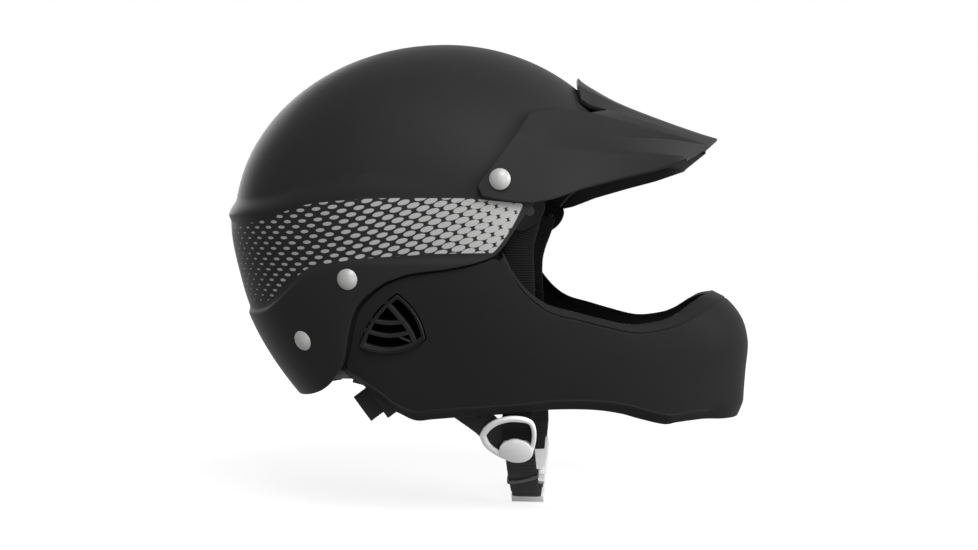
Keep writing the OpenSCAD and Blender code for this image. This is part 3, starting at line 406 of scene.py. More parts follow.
class Shader:
    """Adds nodes to a tree: values are numbers or the sockets that feed them."""

    def __init__(self, tree):
        self.tree = tree

    def node(self, kind, inputs=None, **settings):
        node = self.tree.nodes.new(kind)
        for key, value in settings.items():
            setattr(node, key, value)
        for key, value in (inputs or {}).items():
            self.feed(node.inputs[key], value)
        return node

    def feed(self, socket, value):
        if isinstance(value, bpy.types.NodeSocket):
            self.tree.links.new(value, socket)
        else:
            socket.default_value = value

    def math(self, operation, a, b=0.0, c=0.0):
        return self.node("ShaderNodeMath", {0: a, 1: b, 2: c}, operation=operation).outputs[0]

    def blend(self, factor, a, b):
        node = self.node("ShaderNodeMix", data_type="RGBA")
        self.feed(node.inputs["Factor"], factor)
        self.feed(node.inputs[6], a)
        self.feed(node.inputs[7], b)
        return node.outputs[2]

    def scale(self, colour, factor):
        node = self.node("ShaderNodeVectorMath", {0: colour}, operation="SCALE")
        self.feed(node.inputs["Scale"], factor)
        return node.outputs[0]

    def ramp(self, value, low, high, to_low=0.0, to_high=1.0, smooth=False):
        return self.node("ShaderNodeMapRange", {0: value, 1: low, 2: high, 3: to_low, 4: to_high},
                         interpolation_type="SMOOTHSTEP" if smooth else "LINEAR").outputs[0]

    def noise(self, vector, scale, detail=3.0, rough=0.5):
        return self.node("ShaderNodeTexNoise", {"Vector": vector, "Scale": scale, "Detail": detail,
                                                "Roughness": rough}).outputs[0]


def shader_group(name, inputs, outputs):
    """A node group with named sockets; returns its shader and its two ends."""
    group = bpy.data.node_groups.new(name, "ShaderNodeTree")
    for key, kind, value in inputs:
        socket = group.interface.new_socket(key, in_out="INPUT", socket_type="NodeSocket" + kind)
        if value is not None:
            socket.default_value = value
    for key, kind in outputs:
        group.interface.new_socket(key, in_out="OUTPUT", socket_type="NodeSocket" + kind)
    shader = Shader(group)
    take, give = shader.node("NodeGroupInput").outputs, shader.node("NodeGroupOutput").inputs
    return group, shader, take, give


NEAR_BLACK = (0.02, 0.02, 0.02, 1)
FACE_OUT = [("Colour", "Color"), ("Roughness", "Float"), ("Height", "Float")]


def moulded_face():
    """Moulded plastic: a fine grain, slow shade changes, and faint handling marks."""
    group, s, take, give = shader_group(
        "moulded_face",
        [("Vector", "Vector", None), ("Colour", "Color", NEAR_BLACK),
         ("Grain", "Float", 1800.0), ("Roughness", "Float", 0.5), ("Marks", "Float", 0.3)],
        FACE_OUT)
    grain = s.noise(take["Vector"], take["Grain"], 2.0, 0.6)
    slow = s.noise(take["Vector"], 14.0, 3.0)
    scuff = s.node("ShaderNodeTexNoise", {"Vector": s.node(
        "ShaderNodeMapping", {"Vector": take["Vector"], "Scale": (60, 90, 420)}).outputs[0],
        "Scale": 1.0, "Detail": 5.0, "Roughness": 0.65}).outputs[0]
    marks = s.math("MULTIPLY", s.ramp(scuff, 0.6, 0.78), take["Marks"])
    tone = s.math("ADD", s.ramp(slow, 0.3, 0.7, 0.94, 1.06), s.math("MULTIPLY", marks, 0.5))
    s.feed(give["Colour"], s.scale(take["Colour"], tone))
    s.feed(give["Roughness"], s.math("ADD", take["Roughness"], s.math(
        "SUBTRACT", s.ramp(slow, 0.3, 0.7, -0.03, 0.03), s.math("MULTIPLY", marks, 0.12))))
    s.feed(give["Height"], grain)
    return group


def rib_weave():
    """Webbing: ribs across the strap, yarns along it, with painted shade in the grooves and a
    painted highlight on the rib tops. Weave runs across, then along, in mm.
    """
    group, s, take, give = shader_group(
        "rib_weave",
        [("Weave", "Vector", None), ("Pitch", "Float", 2.3), ("Colour", "Color", NEAR_BLACK)],
        FACE_OUT)
    part = s.node("ShaderNodeSeparateXYZ", {0: take["Weave"]}).outputs
    turns = s.math("MULTIPLY", s.math("DIVIDE", part[1], take["Pitch"]), 2 * math.pi)
    rib = s.math("MULTIPLY_ADD", s.math("COSINE", turns), 0.5, 0.5)
    slant = s.math("ADD", s.math("MULTIPLY", part[0], 8.4), s.math("MULTIPLY", turns, 2.0))
    yarn = s.math("MULTIPLY_ADD", s.math("SINE", slant), 0.5, 0.5)
    fuzz = s.noise(take["Weave"], 3.2, 3.0, 0.7)
    height = s.math("ADD", rib, s.math("MULTIPLY", yarn, 0.35))
    # Painted shade and highlight: the colour follows the height, darker in the grooves and lighter
    # on the rib tops.
    tone = s.math("ADD", s.ramp(height, 0.0, 1.35, 0.25, 2.0), s.ramp(fuzz, 0.3, 0.7, -0.15, 0.15))
    s.feed(give["Colour"], s.scale(take["Colour"], tone))
    s.feed(give["Roughness"], s.ramp(fuzz, 0.3, 0.7, 0.72, 0.9))
    s.feed(give["Height"], height)
    return group


def knit_face():
    """Brushed knit over foam: small loops in staggered rows, with painted shade between the loops.
    """
    group, s, take, give = shader_group(
        "knit_face",
        [("Vector", "Vector", None), ("Loops", "Float", 700.0), ("Colour", "Color", NEAR_BLACK)],
        FACE_OUT)
    cells = s.node("ShaderNodeTexVoronoi", {"Vector": take["Vector"], "Scale": take["Loops"],
                                            "Randomness": 0.35}, feature="F1").outputs["Distance"]
    fuzz = s.noise(take["Vector"], 900.0, 3.0, 0.7)
    wide = s.noise(take["Vector"], 30.0, 2.0)
    loop = s.ramp(cells, 0.1, 0.75, 1.0, 0.0)
    # Painted shade: the colour follows the loops' height, darker between them.
    fine = s.math("ADD", s.ramp(loop, 0, 1, 0.6, 1.05), s.ramp(fuzz, 0.3, 0.7, -0.1, 0.12))
    tone = s.math("MULTIPLY", fine, s.ramp(wide, 0.3, 0.7, 0.9, 1.1))
    s.feed(give["Colour"], s.scale(take["Colour"], tone))
    s.feed(give["Roughness"], s.ramp(fuzz, 0.3, 0.7, 0.82, 0.96))
    s.feed(give["Height"], s.math("ADD", loop, s.math("MULTIPLY", fuzz, 0.4)))
    return group


def oval_dots():
    """Two sets of ovals, one in the gaps of the other, that swell towards the front.
    Place holds the column and row of a point; a whole number of each is an oval's middle."""
    group, s, take, give = shader_group(
        "oval_dots", [("Place", "Vector", None), ("Inside", "Float", 0.0)], [("Mask", "Float")])
    part = s.node("ShaderNodeSeparateXYZ", {0: take["Place"]}).outputs
    reach = s.node("ShaderNodeFloatCurve", {"Value": s.ramp(part[0], -16, 8)})
    line = reach.mapping.curves[0].points
    line[0].location, line[1].location = (0.0, 0.07), (1.0, 0.485)
    for x, y in ((0.19, 0.11), (0.29, 0.20), (0.475, 0.265), (0.78, 0.385), (0.883, 0.42)):
        line.new(x, y)
    reach.mapping.update()
    wide = reach.outputs[0]
    high = s.math("MULTIPLY", wide, s.ramp(part[0], -9, 8, 0.58, 0.77))

    def set_of(shift):
        far = []
        for axis, size in ((0, wide), (1, high)):
            off = s.math("SUBTRACT", s.math("FRACT", s.math("ADD", part[axis], shift + 0.5)), 0.5)
            far.append(s.math("POWER", s.math("DIVIDE", s.math("ABSOLUTE", off), size), 2.0))
        return s.math("ADD", far[0], far[1])
    nearest = s.math("MINIMUM", set_of(0.0), set_of(0.5))
    dot = s.ramp(nearest, 0.93, 1.09, 1.0, 0.0, smooth=True)
    inside = s.ramp(take["Inside"], 0.0, 0.25)
    s.feed(give["Mask"], s.math("MULTIPLY", dot, inside))
    return group


MOULDED, RIBS, KNIT, DOTS = moulded_face(), rib_weave(), knit_face(), oval_dots()


def surface(name, group, inputs, bump, reach, **sockets):
    """A material with a Principled surface whose colour, roughness and bump come from a group."""
    material = bpy.data.materials.new(name)
    material.use_nodes = True
    s = Shader(material.node_tree)
    shader = material.node_tree.nodes["Principled BSDF"]
    for key, value in sockets.items():
        shader.inputs[key.replace("_", " ")].default_value = value
    place = s.node("ShaderNodeTexCoord").outputs["Object"]
    feeds = {"Vector": place} if "Vector" in group.interface.items_tree else {}
    face = s.node("ShaderNodeGroup", node_tree=group)
    for key, value in {**feeds, **inputs(s)}.items():
        s.feed(face.inputs[key], value)
    s.feed(shader.inputs["Base Color"], face.outputs["Colour"])
    s.feed(shader.inputs["Roughness"], face.outputs["Roughness"])
    relief = s.node("ShaderNodeBump", {"Strength": bump, "Distance": reach,
                                       "Height": face.outputs["Height"]})
    s.feed(shader.inputs["Normal"], relief.outputs[0])
    return material, s, shader, face


def shade(level, tint=(1, 1, 1)):
    return (level * tint[0], level * tint[1], level * tint[2], 1)


def plastic(name, colour, rough, grain=1800.0, marks=0.3, bump=0.12, **sockets):
    return surface(name, MOULDED, lambda s: {"Colour": colour, "Roughness": rough, "Grain": grain,
                                             "Marks": marks}, bump, 0.0002, **sockets)[0]


def weave(name, colour, pitch=2.3, sheen=0.05, gloss=0.2):
    return surface(name, RIBS, lambda s: {
        "Colour": colour, "Pitch": pitch,
        "Weave": s.node("ShaderNodeAttribute", attribute_name="weave").outputs["Vector"]},
        0.5, 0.0003, Sheen_Weight=sheen, Sheen_Roughness=0.4, Specular_IOR_Level=gloss)[0]


def knit(name, colour, loops=700.0, sheen=0.06, gloss=0.12):
    return surface(name, KNIT, lambda s: {"Colour": colour, "Loops": loops}, 0.5, 0.0003,
                   Sheen_Weight=sheen, Sheen_Roughness=0.5, Specular_IOR_Level=gloss)[0]


def dotted_shell():
    """The shell's black plastic with the pale ovals of its side band."""
    material, s, shader, face = surface(
        "matte_shell", MOULDED, lambda s: {"Colour": shade(0.0185), "Roughness": 0.46,
                                           "Grain": 1900.0, "Marks": 0.25}, 0.12, 0.0002,
        Specular_IOR_Level=0.04)
    dots = s.node("ShaderNodeGroup", {
        "Place": s.node("ShaderNodeAttribute", attribute_name="dots").outputs["Vector"],
        "Inside": s.node("ShaderNodeAttribute", attribute_name="band").outputs["Fac"]},
        node_tree=DOTS)
    mask = dots.outputs["Mask"]
    s.feed(shader.inputs["Base Color"],
           s.blend(mask, face.outputs["Colour"], shade(0.32, (1, 1, 0.99))))
    s.feed(shader.inputs["Roughness"],
           s.math("MULTIPLY_ADD", mask, -0.06, face.outputs["Roughness"]))
    return material


SHELL_FINISH = dotted_shell()
# Painted shade: the guard is a darker copy of the shell's black plastic, for the shade on the
# helmet's lower part.
GUARD_SHADED_FINISH = plastic("matte_guard_painted_shade", shade(0.0145), 0.5, 1900.0, 0.25, Specular_IOR_Level=0.02)
VISOR_FINISH = plastic("matte_visor", shade(0.0165), 0.46, 1900.0, 0.3, Specular_IOR_Level=0.05)
TRIM_FINISH = plastic("satin_trim", shade(0.009), 0.42, 1500.0, 0.2, Specular_IOR_Level=0.12)
TAB_FINISH = plastic("glossy_tab", shade(0.0065), 0.3, 1500.0, 0.2, Specular_IOR_Level=0.08)
# Partly painted shade: the vent mesh is black, and its near-black colour without sheen or gloss
# also stands in for the shade in the vent openings.
SCREEN_SHADE_FINISH = knit("vent_mesh_painted_shade", shade(0.0015), 900.0, sheen=0, gloss=0)
CAP_FINISH = plastic("silver_head", shade(0.34, (1, 1, 0.97)), 0.42, 2600.0, 0.15, 0.06,
                     Metallic=0.15)
STEEL_FINISH = plastic("steel_screw", shade(0.55), 0.3, 2600.0, 0.4, 0.08, Metallic=1.0)
DARK_SCREW_FINISH = plastic("dark_screw", shade(0.02), 0.4, 2200.0, 0.3, Specular_IOR_Level=0.15)
WHITE_FINISH = plastic("white_buckle", shade(0.85), 0.4, 1300.0, 0.15, 0.08)
GREY_FINISH = plastic("grey_clip", shade(0.07), 0.48, 1500.0, 0.2)
SLIDER_FINISH = plastic("dark_slider", shade(0.02), 0.48, 1500.0, 0.2, Specular_IOR_Level=0.08)
ELASTIC_FINISH = weave("grey_elastic", shade(0.1), 1.1)
WEBBING_FINISH = weave("black_webbing", shade(0.0105), 1.6)
# Painted shade: the front straps' webbing is a darker copy of the black webbing, for the shade
# inside the eye port.
SHADED_FRONT_WEBBING_FINISH = weave("black_front_webbing_painted_shade", shade(0.005), 1.6, sheen=0.02, gloss=0.1)
FOAM_FINISH = knit("liner_foam", shade(0.008), 1400.0, sheen=0.03, gloss=0.05)
PAD_FINISH = knit("pad_cloth", shade(0.008), 620.0, sheen=0.04, gloss=0.05)


# Outer shell

def rim_roll(wall, level, count=8, round_off=1.3):
    """Stations (level, depth) round a wall's lower rim, from its outer to its inner face."""
    line = []
    for k in range(1, count):
        a = math.pi * k / count
        line.append((level + round_off * (1 - math.sin(a) ** 0.6),
                     wall / 2 - wall / 2 * power(math.cos(a), 0.6)))
    return line


def stations(stops):
    """Levels between rising stops, each (level, how many steps lead to it)."""
    line = [stops[0][0]]
    for level, steps in stops[1:]:
        level = max(level, line[-1] + 0.18 * steps)
        line += [mix(line[-1], level, k / steps) for k in range(1, steps + 1)]
    return line


def to_crown(level, steps):
    """Levels from one on the dome to its crown, closer together towards the top."""
    a0 = math.asin(dome_t(level))
    return [DOME_Z + (CROWN_Z - DOME_Z) * math.sin(mix(a0, math.pi / 2, k / steps))
            for k in range(1, steps + 1)]


def shell_profile(turn, low):
    """Stations from the crown down the outer face, round the rim and up the inner face."""
    x = dome_point(turn, DOME_Z, False)[0]
    crease, ridge, start = along(CREASE_LINE, x), along(RIDGE_LINE, x), low + 1.3
    face = stations([(start, 0), (crease - 8, 12), (crease + 1, 9), (ridge - 6, 14),
                     (ridge + 1, 8), (ridge + 13, 12)])
    face += to_crown(face[-1], 34)
    step = (60 - start) / 16 if low < 50 else 0.5
    back = [start + step * k for k in range(17)]
    back += to_crown(back[-1], 16)
    return [(z, 0.0) for z in reversed(face)] + rim_roll(WALL, low) + [(z, WALL) for z in back]


BAND_TOP = [(-125, 16), (-100, 17), (-91.8, 17.8), (-79.3, 18.8), (-64.4, 22.6), (-47.5, 27.9),
            (-37, 30.1), (-9.6, 32.5), (11.9, 33.3), (46, 33.2), (64.8, 33), (80.9, 31.4),
            (98.3, 29.8)]
BAND_LOW = [(-125, -36.5), (-90, -36.5), (-79.9, -35.1), (-71.8, -32.1), (-58.1, -22.6),
            (-49.6, -16.6), (-39.9, -10.8), (-31.7, -9), (-18.1, -7), (-5.9, -5.4), (26.6, -3.2),
            (44, -2.2), (79, -1.7), (99, -1.7)]
BAND_FRONT = [(-1.7, 79.5), (5.2, 84.8), (14.6, 91), (29.6, 98.3)]
DOT_ACROSS, DOT_UP, DOT_SLANT = 11.2, 6.9, 0.183
FIRST_DOT, BAND_Z = (17.7, 25.8), 12
# The rows of dots are level behind the first of these lengths and climb evenly before the second.
CLIMB_FROM, CLIMB_TO, CLIMB = -60, 10, 0.25


def band_walk():
    """Length along the side band at each half degree of turn, 0 where x is 0."""
    walk, last = [0.0], dome_point(0, BAND_Z, False)
    for k in range(1, 361):
        here = dome_point(k / 2, BAND_Z, False)
        walk.append(walk[-1] - (here - last).length)
        last = here
    k0 = dome_turn(0, BAND_Z) * 2
    i = int(k0)
    start = mix(walk[i], walk[i + 1], k0 - i)
    return [w - start for w in walk]


def dot_place(walk, turn, z):
    """A point in the slanting frame of the dots: along the rows and up across them, in mm."""
    i = min(int(turn * 2), 359)
    s = mix(walk[i], walk[i + 1], turn * 2 - i)
    run = CLIMB_TO - CLIMB_FROM
    lift = 0.0
    if s >= CLIMB_TO:
        lift = CLIMB * (run / 2 + s - CLIMB_TO)
    elif s >= CLIMB_FROM:
        lift = CLIMB * (s - CLIMB_FROM) ** 2 / (2 * run)
    w = z - lift
    return s + DOT_SLANT * w, w


def make_shell():
    walk = band_walk()
    bm = bmesh.new()
    band = bm.verts.layers.float.new("band")
    dots = bm.verts.layers.float_vector.new("dots")
    u0, w0 = dot_place(walk, dome_turn(*FIRST_DOT), FIRST_DOT[1])

    def place(v, key, z, depth):
        turn = key[0]
        x = dome_point(turn, z, False)[0]
        u, w = dot_place(walk, turn, z)
        v[dots] = Vector(((u - u0) / DOT_ACROSS, (w - w0) / DOT_UP, 0))
        inside = min(along(BAND_TOP, x) - z, z - along(BAND_LOW, x),
                     0.85 * (along(BAND_FRONT, z) - x))
        v[band] = -5.0 if depth > 0.01 else clamp(inside, -5, 5)
        return dome_inside(turn, z, depth)
    skin(bm, [((turn,), shell_profile(turn, low))
              for turn, low in edge_columns(SHELL_EDGE, 150)], place)
    join_halves(bm)
    shell = finish_piece("shell_with_side_band", bm, SHELL_FINISH, "helmet", sharp=60)
    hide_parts("outer_shell")


make_shell()


# Chin guard and its vents

GUARD_NOSE = [(-116, 1.2), (-106, 2.8), (-84, 1.6), (-68.7, 0), (-61.6, 0), (-50, 2.5),
              (-42, 6.7), (-34, 13.6), (-27, 21.5), (-10, 36), (10, 48)]
GUARD_REACH, OPEN_RIM, ALL_HIDDEN, NOSE_LEVEL = 243.8, 60, -100, -60
# Stations from the nose to the rear: x, lower edge, level from which the shell covers the wall
# (OPEN_RIM or ALL_HIDDEN where there is no such level) and upper edge.
GUARD_HALF = [
    (FAR, -114, 60, -27.2), (216, -113.5, 60, -29.5), (209, -112.6, 60, -33.5),
    (203.5, -113, 60, -37.4), (196, -114, 60, -42.3), (188.5, -115, 60, -45.3),
    (174, -110.9, 60, -47.9), (163, -107.5, 60, -47.3), (148, -105, 60, -43.8),
    (132, -104, 60, -39.5), (115, -104, 60, -34.8), (103.4, -104.5, 60, -26.9),
    (93.4, -105.3, 60, -15.2), (84.6, -106, 0, -0.6), (77.9, -106.8, -4.7, 1),
    (64.5, -108, -9.1, -1), (48.4, -109.5, -12.3, -8), (34, -111, -14.2, -10),
    (23, -111.8, -16, -11), (10, -105, -21.3, -12.5), (0, -99, -29.5, -13), (-8, -94.5, -39, -13),
    (-15, -88.5, -64, -13), (-20, -83.5, -82, -14), (-25, -79.5, -100, -18),
    (-33, -77, -100, -30), (-42, -75, -100, -40), (-50, -73, -100, -45), (-57, -70, -100, -50)]


BEAD, RIM_BEAD = 6.0, 5.4
RIM_LEAN = [(84, 1.9), (93, 1.72), (103, 1.45), (115, 1.14), (132, 1.04), (150, 1.0)]
GUARD_MID, GUARD_POWER = MID_X, 2.2
# The tuck under the shell grows from the middle to the eye port, whose corner is at PORT_X.
PORT_X, TUCK, TUCK_MORE = 84, 2.2, 3.4
RIM_CUT, HEM_CUT = 3.4, 5.6


def guard_point(phi, z, inset=0.0):
    return oval(phi, z, GUARD_REACH - along(GUARD_NOSE, z) - inset, shell_rear(z) + inset,
                GUARD_MID, shell_half(z) - 0.5 - inset, GUARD_POWER)


def guard_turn(x, z=NOSE_LEVEL):
    return turn_at(x, GUARD_REACH - along(GUARD_NOSE, z), shell_rear(z), GUARD_MID, GUARD_POWER)


def guard_inset(column, z):
    """How far the wall stands in from the flush surface: the tuck under the shell, the chamfer
    along the eye port and the one along the lower edge, each with a fine bead at its border."""
    _, low, covered, top, x = column
    open_part = ease((x - PORT_X) / 10)
    tuck = (1 - open_part) * (TUCK + TUCK_MORE * clamp((x - GUARD_MID) / (PORT_X - GUARD_MID)) ** 2)
    under = tuck * ease((z - covered + 1.2) / 1.8)
    rise, fall = (z - top) / along(RIM_LEAN, x) + RIM_BEAD, z - low
    rim = open_part * (RIM_CUT * clamp((rise - 0.7) / (RIM_BEAD - 1))
                       + math.exp(-(rise / 0.6) ** 2))
    nose = ease((x - 203) / 13)
    chamfer = HEM_CUT * clamp(1 - fall / (BEAD + 6 * nose)) ** (1 + 0.6 * nose)
    ridge = 0.9 * (1 - nose) * math.exp(-((fall - BEAD - 0.4) / 0.6) ** 2)
    return under + rim + ease((x + 24) / 6) * (chamfer - ridge)


def guard_profile(column):
    """Stations up the outer face, over the top, down the inner face and round the lower edge."""
    _, low, covered, top, _ = column
    start, stop = low + 1.2, top - 1.2
    hide = clamp(covered, low + 13, top - (BEAD + 3 if covered > 0 else 4))
    levels = [start]
    for a, b, steps in ((start, low + 11, 24), (low + 11, hide - 3, 16), (hide - 3, hide + 1.5, 10),
                        (hide + 1.5, stop, 16)):
        levels += [mix(a, b, k / steps) for k in range(1, steps + 1)]
    upper = [(2 * top - z, d) for z, d in rim_roll(WALL, top, 8, 1.2)]
    lower = [(z, WALL - d) for z, d in rim_roll(WALL, low, 8, 1.2)]
    back = [mix(stop, start, k / 20) for k in range(21)]
    return [(z, 0.0) for z in levels] + upper + [(z, WALL) for z in back] + lower + [(start, 0.0)]


VENT_CORNERS = [(17.6, -27), (35.5, -57), (-8.5, -62)]
VENT_BULGES = [4, 6.7, 3.8]
VENT_Z, VENT_TILT = -47.0, math.radians(11)
VENT_Y = guard_point(guard_turn(14), VENT_Z)[1]
# Rings of the frame from its inner to its outer side, each (inset, height).
VENT_FRAME = [(0, -4), (0, -0.3), (0.1, 0.45), (0.45, 0.8), (0.8, 0.75), (1.1, 0.3), (1.25, -0.3),
              (1.5, -0.5), (2.6, -0.6), (3.0, -0.8), (3.3, -1.3), (3.3, -4)]
# Middle lines of the bars, each with its width.
VENT_BARS = [
    ([(6, -29), (11.8, -34.8), (17.8, -42), (21, -46), (23.5, -49.6), (26.4, -55.3), (28, -60)],
     3.6),
    ([(-1.5, -44.2), (4.4, -45.9), (8, -46.5), (13, -46.7), (19.3, -46.1), (22, -45.6)], 3.0),
    ([(-5, -51.2), (0.6, -53.4), (6, -54.7), (11, -55.2), (17, -54.6), (21.6, -53.6), (26, -52.4)],
     2.9),
    ([(16.5, -55), (20, -56.9), (25, -59)], 1.4)]


def vent_outline(inset, count=120):
    """The vent's outline: a triangle with bulging sides, its corners set clockwise."""
    circles = []
    for i, bulge in enumerate(VENT_BULGES):
        a, b = Vector(VENT_CORNERS[i]), Vector(VENT_CORNERS[(i + 1) % 3])
        chord = (b - a).length
        r = chord * chord / (8 * bulge) + bulge / 2
        d = (b - a) / chord
        circles.append(((a + b) / 2 + (r - bulge) * Vector((d.y, -d.x)), r - inset))
    mid = sum((Vector(c) for c in VENT_CORNERS), Vector((0, 0))) / 3
    line = []
    for k in range(count):
        way = Vector(spoke(k, count, 0))
        reach = 1e9
        for centre, r in circles:
            off = mid - centre
            b, c = way.dot(off), off.dot(off) - r * r
            reach = min(reach, -b + math.sqrt(max(0, b * b - c)))
        line.append(mid + way * reach)
    return line


def vent_place(side, x, y, out):
    """A point of a vent's flat frame: forward, up and outward."""
    up = y - VENT_Z
    return Vector((x, side * (VENT_Y + up * math.sin(VENT_TILT) + out * math.cos(VENT_TILT)),
                   VENT_Z + up * math.cos(VENT_TILT) - out * math.sin(VENT_TILT)))


def vent_disc(side, inset, count, out):
    bm = bmesh.new()
    disc(bm, [vent_place(side, p.x, p.y, out) for p in vent_outline(inset, count)])
    return bm


def make_vent(side, side_name):
    """A vent's frame with a lip along its lower side, its curved diagonal bar and cross bars."""
    bm = bmesh.new()
    count, around = 150, 16
    rings = [vent_outline(inset, count) for inset, _ in VENT_FRAME]

    def frame_point(i, k):
        p = rings[k][i]
        low_side = ease((-spoke(i, count, 0)[1] - 0.2) / 0.5)
        lip = 0.9 * low_side if 2 <= k <= 4 else 0
        p = p + (rings[-1][i] - p).normalized() * (0.7 * (1 - low_side) if k < 7 else 0)
        return vent_place(side, p.x, p.y, VENT_FRAME[k][1] + lip)
    tube(bm, count, len(VENT_FRAME), frame_point, loop=True)
    for points, width in VENT_BARS:
        line = [Vector(p) for p in curve(points, 8)]

        def bar_point(i, k):
            a, b = line[max(i - 1, 0)], line[min(i + 1, len(line) - 1)]
            across = Vector((a.y - b.y, b.x - a.x)).normalized()
            c, h = spoke(k, around)
            p = line[i] + across * (power(c, 0.5) * width / 2)
            return vent_place(side, p.x, p.y, -2.0 + 1.25 * power(h, 0.5) - 0.3 * c)
        tube(bm, len(line) - 1, around, bar_point)
    close_up(bm)
    vent = finish_piece("vent_louvres_" + side_name, bm, TRIM_FINISH, "helmet", sharp=50)
    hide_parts("vent_grille_" + side_name)


def cut_vent(guard, side):
    """Cut a vent's opening through the guard's wall."""
    bm = vent_disc(side, -0.25, 120, -15)
    extrude(bm, vent_place(side, 0, 0, 15) - vent_place(side, 0, 0, -15))
    turn_out(bm)
    cutter = add_object("vent_cutter", mesh_of(bm, "vent_cutter"))
    cut = guard.modifiers.new("vent", "BOOLEAN")
    cut.object, cut.operation, cut.solver = cutter, "DIFFERENCE", "EXACT"
    settle(guard)
    bpy.data.objects.remove(cutter)


def make_guard():
    line = curve([(guard_turn(x, {OPEN_RIM: top, ALL_HIDDEN: NOSE_LEVEL}.get(covered, covered)),
                   low, covered, top, min(x, 220)) for x, low, covered, top in GUARD_HALF], 6)
    bm = bmesh.new()

    def place(_, column, z, depth):
        p = guard_point(column[0], z, guard_inset(column, z))
        return p - depth * normal_of(guard_point, column[0], z) if depth else p
    skin(bm, [(column, guard_profile(column)) for column in line], place)
    bmesh.ops.remove_doubles(bm, verts=bm.verts, dist=MERGE_SKIN)
    join_halves(bm)
    close_up(bm)
    guard = finish_piece("chin_guard_shell", bm, GUARD_SHADED_FINISH, "helmet", sharp=60)
    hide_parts("chin_guard")
    for side in (1, -1):
        cut_vent(guard, side)
    smooth(guard.data, sharp=50)


def make_screen(side, side_name):
    """The fine dark mesh behind a vent's bars, its near-black colour partly its own and partly
    painted shade for the dark openings.
    """
    bm = vent_disc(side, -1.4, 90, -4.3)
    turn_out(bm)
    if bm.faces[:][0].normal.y * side < 0:
        bmesh.ops.reverse_faces(bm, faces=bm.faces)
    bmesh.ops.solidify(bm, geom=bm.faces[:], thickness=0.5 * MM)
    turn_out(bm)
    screen = finish_piece("vent_screen_" + side_name, bm, SCREEN_SHADE_FINISH, "helmet", sharp=40)


SIDES = ((1, "left"), (-1, "right"))
make_guard()
for side, side_name in SIDES:
    make_vent(side, side_name)
for side, side_name in SIDES:
    make_screen(side, side_name)


# Visor

# How far the visor stands off the dome, and its wall.
VISOR_OFF, VISOR_WALL = 5.2, 2.4


def visor_lines():
    """The left half's lines from rear to tip: the lower edge first, the middle last."""
    def hug(x, z, more=0):
        return on_dome(x, z, VISOR_OFF + more)

    def flank(x, z):
        return x, mix(100.5, 66, (x - 103) / 98), z
    edge = [hug(72, 34), hug(85, 31.5), (103, 100.5, 30.3), flank(117, 33.2),
            flank(135, 40), flank(158, 46.5), flank(180, 52.3), (201, 66, 59.5)]
    crease = [hug(91, 71.8, 0.6), hug(98.5, 69.5, 1.4), (104, 92.6, 65.5), (118, 85.5, 65),
              (137, 77.5, 64.5), (160, 69, 64), (181, 64, 63.2), (202.7, 60, 61)]
    upper = [hug(98.5, 86), hug(106, 88), hug(113, 89), hug(120, 89.5),
             (138, 55, 91), (158, 42, 86.5), (184, 30, 81), (215.9, 21, 71.4)]
    edge, crease, upper = ([Vector(p) for p in line] for line in (edge, crease, upper))
    scoop_low = [0.5, 0.5, 0.52, 0.56, 0.58, 0.4, 0.69, 0.96]
    scoop_high = [0.75, 0.75, 0.75, 0.72, 0.66, 0.78, 0.97, 0.985]
    scoop_dip = [0, 0, 0, 0, 0.8, 3.2, 2.6, 0]
    inward = Vector((0.12, 0.62, 0.78))

    def panel(t, dip=(0,) * 8):
        """A line across the upper side panel, sunk where the scallop is."""
        return [crease[j].lerp(upper[j], t[j]) - dip[j] * inward for j in range(8)]
    return [
        edge,
        [hug(69.2, 40.5), hug(88, 41)] + [edge[j].lerp(crease[j], 0.25) for j in range(2, 8)],
        crease,
        panel(scoop_low),
        panel([mix(a, b, 0.1) for a, b in zip(scoop_low, scoop_high)], scoop_dip),
        panel(scoop_high),
        upper,
        [hug(101, 94), hug(110, 98), (131, 38, 101.5), (137, 37, 97.5),
         (148.5, 35, 94.5), (161, 33, 90.5), (186, 24, 83.5), (217.9, 15, 73)],
        [hug(104, 110), hug(112, 112), (128, 22, 113), (138.5, 20, 107.5),
         (150, 19, 102), (164, 17, 96), (188, 13, 87), (220.2, 8, 74.9)],
        [(108, 0, 127), (116, 0, 123), (126.4, 0, 120.4), (137, 0, 114), (150, 0, 105.2),
         (165, 0, 98.4), (189, 0, 89.1), (222.9, 0, 77)]]


